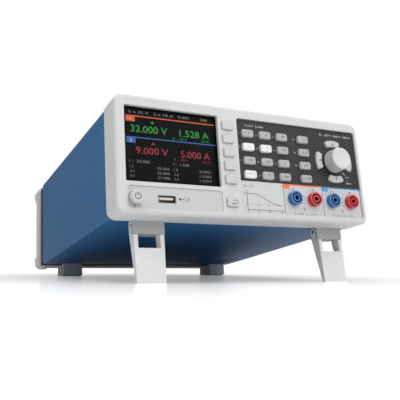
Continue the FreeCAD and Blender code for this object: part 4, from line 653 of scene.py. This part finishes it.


# ---- Knob, its encoder and the arrow keys round it
# The knob is a satin ABS cap with a slightly dished face, pressed on the encoder's steel shaft; its side is
# painted darker than its face as painted shade. The four arrow keys are a lighter grey than the keypad's, and
# a note in plain numbers stands beside them.
RIM_BACK = 0.0016   # metres behind the face, between which the tone changes from the side's painted shade to the face
RIM_FRONT = 0.0007


def knob_plastic_painted_side_shade():
    """Satin grey ABS whose side is painted darker than its face as painted shade, told apart by how far a
    point is in front of the panel.
    """
    material, shader, place = surface("satin grey ABS knob, side in painted shade", 0.38, IOR=1.53)
    depth = add_node(material, "VectorMath", {0: place, 1: outward}, operation="DOT_PRODUCT").outputs["Value"]
    face = (FROM_CASE @ extent("knob")[0]).dot(outward)
    ahead = spread(material, depth, 0.0, 1.0, face - RIM_BACK, face - RIM_FRONT)
    skin = noise(material, place, 0.5, 3.0)
    # painted shade: the side's tone is darker than the face's, standing in for the shade on the knob's side
    tone = between(material, ahead, "#BDBDBF", "#D6D6D6")
    drive(material, shader, "Base Color", tone)
    drive(material, shader, "Roughness", spread(material, skin, 0.32, 0.44))
    grain_bump(material, shader, skin, 0.006)
    return material


coat(knob_plastic_painted_side_shade(), "knob")
arrow_abs = moulded_plastic("light grey ABS arrow key", "#BEBEBF", "#C7C7C8", 0.42, 0.008)
coat(arrow_abs, *[name for name in nodes if name.startswith("arrow_key_")])
low, high = extent("knob")
hub = (low + high) / 2
arrow_radius = (extent("arrow_key_right")[0].x + extent("arrow_key_right")[1].x) / 2 - hub.x
ARROW = 0.95
for name, angle in (("right", 0), ("up", 90), ("left", 180), ("down", 270)):
    along = Vector((math.cos(math.radians(angle)), math.sin(math.radians(angle))))
    across = Vector((-along.y, along.x))
    middle = Vector((hub.x, hub.z)) + along * arrow_radius
    tip = middle + along * ARROW
    foot = middle - along * ARROW
    triangle = [tuple(tip), tuple(foot + across * ARROW), tuple(foot - across * ARROW)]
    sign = patch(triangle, extent(f"arrow_key_{name}")[0].y)
    print_on(f"mark_arrow_key_{name}", [sign], grey_ink, f"arrow_key_{name}")

note_x = hub.x + 11.6
note_z = hub.z - 12.3
NOTE = 1.4
NOTE_STEP = 2.6
pointer = [line([(hub.x + 8.6, hub.z - 8.4), (note_x - 0.3, note_z + 0.9)], fascia_y, 0.35)]
for row, (words, shift) in enumerate((("0.1 V", 0.0), ("/", 1.5), ("0.01 A", 0.0))):
    pointer.append(lettering(words, note_x + shift, fascia_y, note_z - 1.2 - NOTE_STEP * row, NOTE))
print_on("print_knob_note", pointer, white_ink, "case")

turned_steel = plated_metal("bright turned steel", "#8E9094", "#B4B6BA", 0.28, (0.3, 6.0, 6.0))
coat(turned_steel, "encoder_shaft", "encoder_plunger", "leg_pins")
coat(plated_metal("die-cast zinc", "#7E8084", "#9A9CA0", 0.42, (2.0, 2.0, 2.0)), "encoder_body")


# ---- Output sockets for shrouded 4 mm plugs
# Each is a blue or red polyamide insulator, moulded with a smooth glossy face, round a nickel-plated brass
# sleeve. They snap into the panel from the front, and the leads are soldered to tags behind it.
def glossy_polyamide(name, dark, light):
    """Coloured polyamide, smooth from a polished tool, with a slight orange peel."""
    material, shader, place = surface(name, 0.24, IOR=1.53, Coat_Weight=0.15, Coat_Roughness=0.12)
    peel = noise(material, place, 1.6, 2.0)
    drive(material, shader, "Base Color", between(material, noise(material, place, 9.0), dark, light))
    drive(material, shader, "Roughness", spread(material, peel, 0.18, 0.32))
    grain_bump(material, shader, peel, 0.006)
    return material


coat(glossy_polyamide("blue polyamide", "#005C9E", "#0267AE"), "output_sockets_blue")
coat(glossy_polyamide("red polyamide", "#B80C1A", "#C81624"), "output_sockets_red")
coat(plated_metal("nickel-plated brass", "#A8A294", "#CFC9BA", 0.2, (0.4, 5.0, 5.0)), "socket_contacts")


# ---- Cover: a folded steel sleeve
# One millimetre sheet, folded round all four sides and powder coated blue. The coat is satin, with the fine
# orange peel of baked powder, and it is slightly uneven in tone over a large area.
def powder_coat(name, dark, light, roughness, peel_mm=1.3):
    """Baked powder: satin, softly dimpled, with slow changes of tone."""
    material, shader, place = surface(name, roughness, Specular_IOR_Level=0.25)
    drive(material, shader, "Base Color", between(material, noise(material, place, 60.0), dark, light))
    peel = noise(material, place, peel_mm, 2.0, 0.55)
    drive(material, shader, "Roughness", spread(material, peel, roughness - 0.07, roughness + 0.07))
    grain_bump(material, shader, peel, 0.02)
    return material


coat(powder_coat("blue powder coat on steel", "#235D8E", "#296698", 0.45), "cover")


# ---- What the case holds
# Zinc-plated steel chassis, green glass-fibre boards, a toroidal transformer wound and taped, an extruded
# aluminium heat sink and a black fan. Little of it shows, through the vents and the grille.
zinc_plate = plated_metal("zinc-plated steel", "#8C9094", "#B2B6BA", 0.38, (4.0, 4.0, 4.0))
coat(zinc_plate, "chassis", "screws")


def circuit_board():
    """Green solder resist over copper tracks, which show as paler bricks, 2 by 1 mm, under it."""
    material, shader, place = surface("green solder resist", 0.35, IOR=1.55)
    tracks = add_node(material, "TexBrick", {"Vector": place, "Scale": 1000 / 4.0, "Mortar Size": 0.06})
    for socket, code in (("Color1", "#1B5A34"), ("Color2", "#1F6A3E"), ("Mortar", "#164A2B")):
        tracks.inputs[socket].default_value = colour(code)
    drive(material, shader, "Base Color", tracks.outputs["Color"])
    grain_bump(material, shader, tracks.outputs["Fac"], 0.03)
    return material


coat(circuit_board(), "front_board", "main_board")

tape, tape_shader, tape_place = surface("yellow polyester tape over a winding", 0.3, IOR=1.6)
LAPS = 6.0 * math.tau   # from one lap of tape to the next
turns = add_node(tape, "TexWave", {"Vector": tape_place, "Scale": 1000 * WAVE / LAPS, "Distortion": 2.0})
drive(tape, tape_shader, "Base Color", between(tape, turns.outputs["Fac"], "#B87A24", "#D8A040"))
grain_bump(tape, tape_shader, turns.outputs["Fac"], 0.15)
coat(tape, "transformer")

coat(plated_metal("extruded aluminium", "#8A8C8E", "#A4A6A8", 0.4, (0.6, 60.0, 0.6)), "heat_sink")
black_pbt = moulded_plastic("black PBT", "#121213", "#1A1A1C", 0.36, 0.008)
coat(black_pbt, "fan_frame", "fan_rotor", "mains_inlet", "fuse_drawer")


# ---- Rear: panel, inlet, switch and plates
# A dark pan of painted steel with punched grille slots. The mains inlet is one black moulding with plated
# blades, a rocker switch and a fuse drawer. A blank cover closes the opening for an interface card.
dark_paint = powder_coat("dark grey powder coat", "#24272B", "#2B2E33", 0.5, 1.0)
coat(dark_paint, "rear_panel")
coat(moulded_plastic("black nylon rocker", "#17171A", "#202023", 0.28, 0.004), "mains_rocker")

panel_y = extent("rear_panel")[1].y
inlet_low, inlet_high = extent("mains_inlet")
fan_low = extent("fan_frame")[0]


def back_lettering(words, x, y, z, height):
    """Lettering that reads from behind."""
    made = lettering(words, 0, 0, 0, height, align="CENTER")
    made.transform(Matrix.Translation((x, y, z)) @ Matrix.Rotation(math.pi, 4, "Z"))
    return made


SIDE_GAP = 8.0      # from the plates to the inlet and to the fan
SUNK = 0.1          # so that no plate floats off the panel
plate_left = inlet_high.x + SIDE_GAP
plate_right = fan_low.x - SIDE_GAP
plate_bottom = inlet_low.z + 2.0
plate_top = plate_bottom + 26.0
cover_plate_low = (plate_left, panel_y - SUNK, plate_bottom)
cover_plate_high = (plate_right, panel_y + 1.2, plate_top)
cover_plate = rounded_box(cover_plate_low, cover_plate_high, 0.5)
finish_piece("interface_cover_plate", cover_plate, zinc_plate, "case")


SCREW_RADIUS = 2.6
SCREW_LENGTH = 3.0
KNURL = 0.94        # every second point of the rim lies this much nearer to the middle


def thumb_screw(x, z, y):
    """Knurled captive screw, turned from a bar."""
    shape = bmesh.new()
    ring = bmesh.ops.create_circle(shape, cap_ends=True, radius=SCREW_RADIUS, segments=32)
    bmesh.ops.rotate(shape, verts=ring["verts"], cent=(0, 0, 0), matrix=Matrix.Rotation(-math.pi / 2, 3, "X"))
    side = bmesh.ops.extrude_face_region(shape, geom=shape.faces[:])
    top = [v for v in side["geom"] if isinstance(v, bmesh.types.BMVert)]
    bmesh.ops.translate(shape, verts=top, vec=(0, SCREW_LENGTH, 0))
    for v in top[::2]:
        v.co.x *= KNURL
        v.co.z *= KNURL
    rim = [f for f in shape.faces if all(v in top for v in f.verts)]
    bmesh.ops.inset_region(shape, faces=rim, thickness=0.5, depth=0.25)
    bmesh.ops.translate(shape, verts=shape.verts, vec=(x, y, z))
    return shape


plate_mid = (plate_bottom + plate_top) / 2
for number, x in enumerate((plate_left + 4.0, plate_right - 4.0), 1):
    knurled = thumb_screw(x, plate_mid, panel_y + 1.0)
    finish_piece(f"plate_screw_{number}", knurled, turned_steel, "case")

rating_low = (plate_left, panel_y - SUNK, plate_top + 6.0)
rating_high = (plate_right, panel_y + 0.25, plate_top + 24.0)
silver_film = printed_film("silver polyester label", "#A9ABAD", "#B6B8BA")
finish_piece("rating_plate", rounded_box(rating_low, rating_high, 0.1, 1), silver_film, "case")
label_x = (plate_left + plate_right) / 2
RATING = 2.4
ratings = []
for row, words in enumerate(("100 / 115 / 230 V", "50 / 60 Hz", "200 W")):
    z = rating_high[2] - 5.5 - 5.0 * row
    ratings.append(back_lettering(words, label_x, rating_high[1] + INK, z, RATING))
print_on("print_rating_plate", ratings, grey_ink, "case")

inlet_x = (inlet_low.x + inlet_high.x) / 2
blade_metal = plated_metal("nickel-plated blade", "#A8A8A4", "#C8C8C2", 0.22)
flange_y = panel_y + 2.5
cavity_z = (TO_CASE @ Vector(mounts["mains_inlet"]["pos_m"])).z
BLADE_PLACES = ((-7.0, -2.2), (7.0, -2.2), (0.0, 2.2))
BLADE_HALF = (1.04, 2.04)   # half its width and height, a hair more than the plain blade under it
BLADE_ROOT = 16.4           # depths behind the flange's face
BLADE_TIP = 2.46
for number, (dx, dz) in enumerate(BLADE_PLACES, 1):
    low = (inlet_x + dx - BLADE_HALF[0], flange_y - BLADE_ROOT, cavity_z + dz - BLADE_HALF[1])
    high = (inlet_x + dx + BLADE_HALF[0], flange_y - BLADE_TIP, cavity_z + dz + BLADE_HALF[1])
    finish_piece(f"inlet_blade_{number}", rounded_box(low, high, 0.35), blade_metal, "case")


# ---- Feet
# The rear feet are grey moulded polypropylene blocks, screwed to the cover from inside; their grey is painted
# paler as painted light, to make up for the shadow they stand in. Their soles are bevelled to lie flat on the
# table when the tilt legs are out.
# painted light: the feet's grey is paler than their own, standing in for light they miss in shadow
coat(moulded_plastic("grey polypropylene foot, paled as painted light", "#C2C4C6", "#CCCED0", 0.6, 0.02), "rear_feet")


# ---- Table, light and camera
# A glossy white table that runs out of sight into a white room, soft lights in front, at the left and above,
# a wide even ceiling light, and a low camera in front of the object, to its left.
floor = bmesh.new()
bmesh.ops.create_grid(floor, x_segments=1, y_segments=1, size=6.0)
floor_data = bpy.data.meshes.new("table")
floor.to_mesh(floor_data)
floor.free()
table_paint, table_shader, table_place = surface("pale table laminate", 0.12, IOR=1.5)
clouds = noise(table_paint, table_place, 200.0)
drive(table_paint, table_shader, "Base Color", between(table_paint, clouds, "#F2F2F2", "#F6F6F6"))
# The table glows for the camera as painted light: faintly near the object, which lightens its shadow there,
# and far from it as white as the room, so that no horizon shows.
NEAR = 0.1
FAR = 0.55
away = add_node(table_paint, "VectorMath", {0: table_place}, operation="LENGTH").outputs["Value"]
in_view = add_node(table_paint, "LightPath").outputs["Is Camera Ray"]
distant = spread(table_paint, away, 0.2, 1.0, NEAR, FAR)
# painted light: glow of 0.2 beside the object, lightening its shadow, rising to 1.0 far away
painted_table_glow = add_node(table_paint, "Math", {0: distant, 1: in_view}, operation="MULTIPLY").outputs["Value"]
table_shader.inputs["Emission Color"].default_value = colour("#FFFFFF")
drive(table_paint, table_shader, "Emission Strength", painted_table_glow)
floor_data.materials.append(table_paint)
table = bpy.data.objects.new("table", floor_data)
bpy.context.scene.collection.objects.link(table)

world = bpy.data.worlds.new("studio")
world.use_nodes = True
seen = add_node(world, "LightPath").outputs["Is Camera Ray"]
ROOM_LIGHT = 0.34   # what the room gives the object; the camera sees it as plain white
glow = spread(world, seen, ROOM_LIGHT, 1.0, 0.0, 1.0)
world.node_tree.nodes["Background"].inputs["Color"].default_value = colour("#FFFFFF")
world.node_tree.links.new(glow, world.node_tree.nodes["Background"].inputs["Strength"])
bpy.context.scene.world = world
bpy.context.scene.view_settings.view_transform = "Standard"


def softbox(name, at, aim, size, power):
    light = bpy.data.lights.new(name, "AREA")
    light.shape = "RECTANGLE"
    light.size, light.size_y = size
    light.energy = power
    lamp = bpy.data.objects.new(name, light)
    lamp.location = at
    lamp.rotation_euler = (Vector(aim) - Vector(at)).to_track_quat("-Z", "Y").to_euler()
    bpy.context.scene.collection.objects.link(lamp)


softbox("front_softbox", (0.6, -1.3, 0.9), (0.0, -0.1, 0.08), (1.2, 0.9), 9.0)
softbox("left_softbox", (-0.55, -0.3, 0.55), (-0.1, -0.05, 0.08), (0.3, 0.3), 0.9)
softbox("overhead_softbox", (0.1, -0.5, 1.5), (0.0, 0.0, 0.05), (1.8, 1.4), 4.0)
sky = bpy.data.lights.new("ceiling_light", "SUN")
sky.energy = 1.3
sky.angle = math.radians(70)
ceiling = bpy.data.objects.new("ceiling_light", sky)
bpy.context.scene.collection.objects.link(ceiling)

EYE = Vector((-129.8, -378.3, -91.7))       # place and direction in the level case
AIM = Vector((0.4429, 0.8643, 0.2383))
LEVEL_ERROR = math.radians(-0.41)           # the camera is not quite level
LENS_PER_WIDTH = 1.4925                     # focal length over the sensor's width
camera_data = bpy.data.cameras.new("camera")
camera_data.sensor_width = 36.0
camera_data.lens = camera_data.sensor_width * LENS_PER_WIDTH
camera_data.clip_start = 0.01
camera = bpy.data.objects.new("camera", camera_data)
ahead = (turn.transposed() @ AIM).normalized()
sideways = Matrix.Rotation(LEVEL_ERROR, 3, ahead) @ ahead.cross(Vector((0, 0, 1))).normalized()
above = sideways.cross(ahead)
facing = Matrix((sideways, above, -ahead)).transposed().to_4x4()
camera.matrix_world = Matrix.Translation(FROM_CASE @ EYE) @ facing
bpy.context.scene.collection.objects.link(camera)
bpy.context.scene.camera = camera
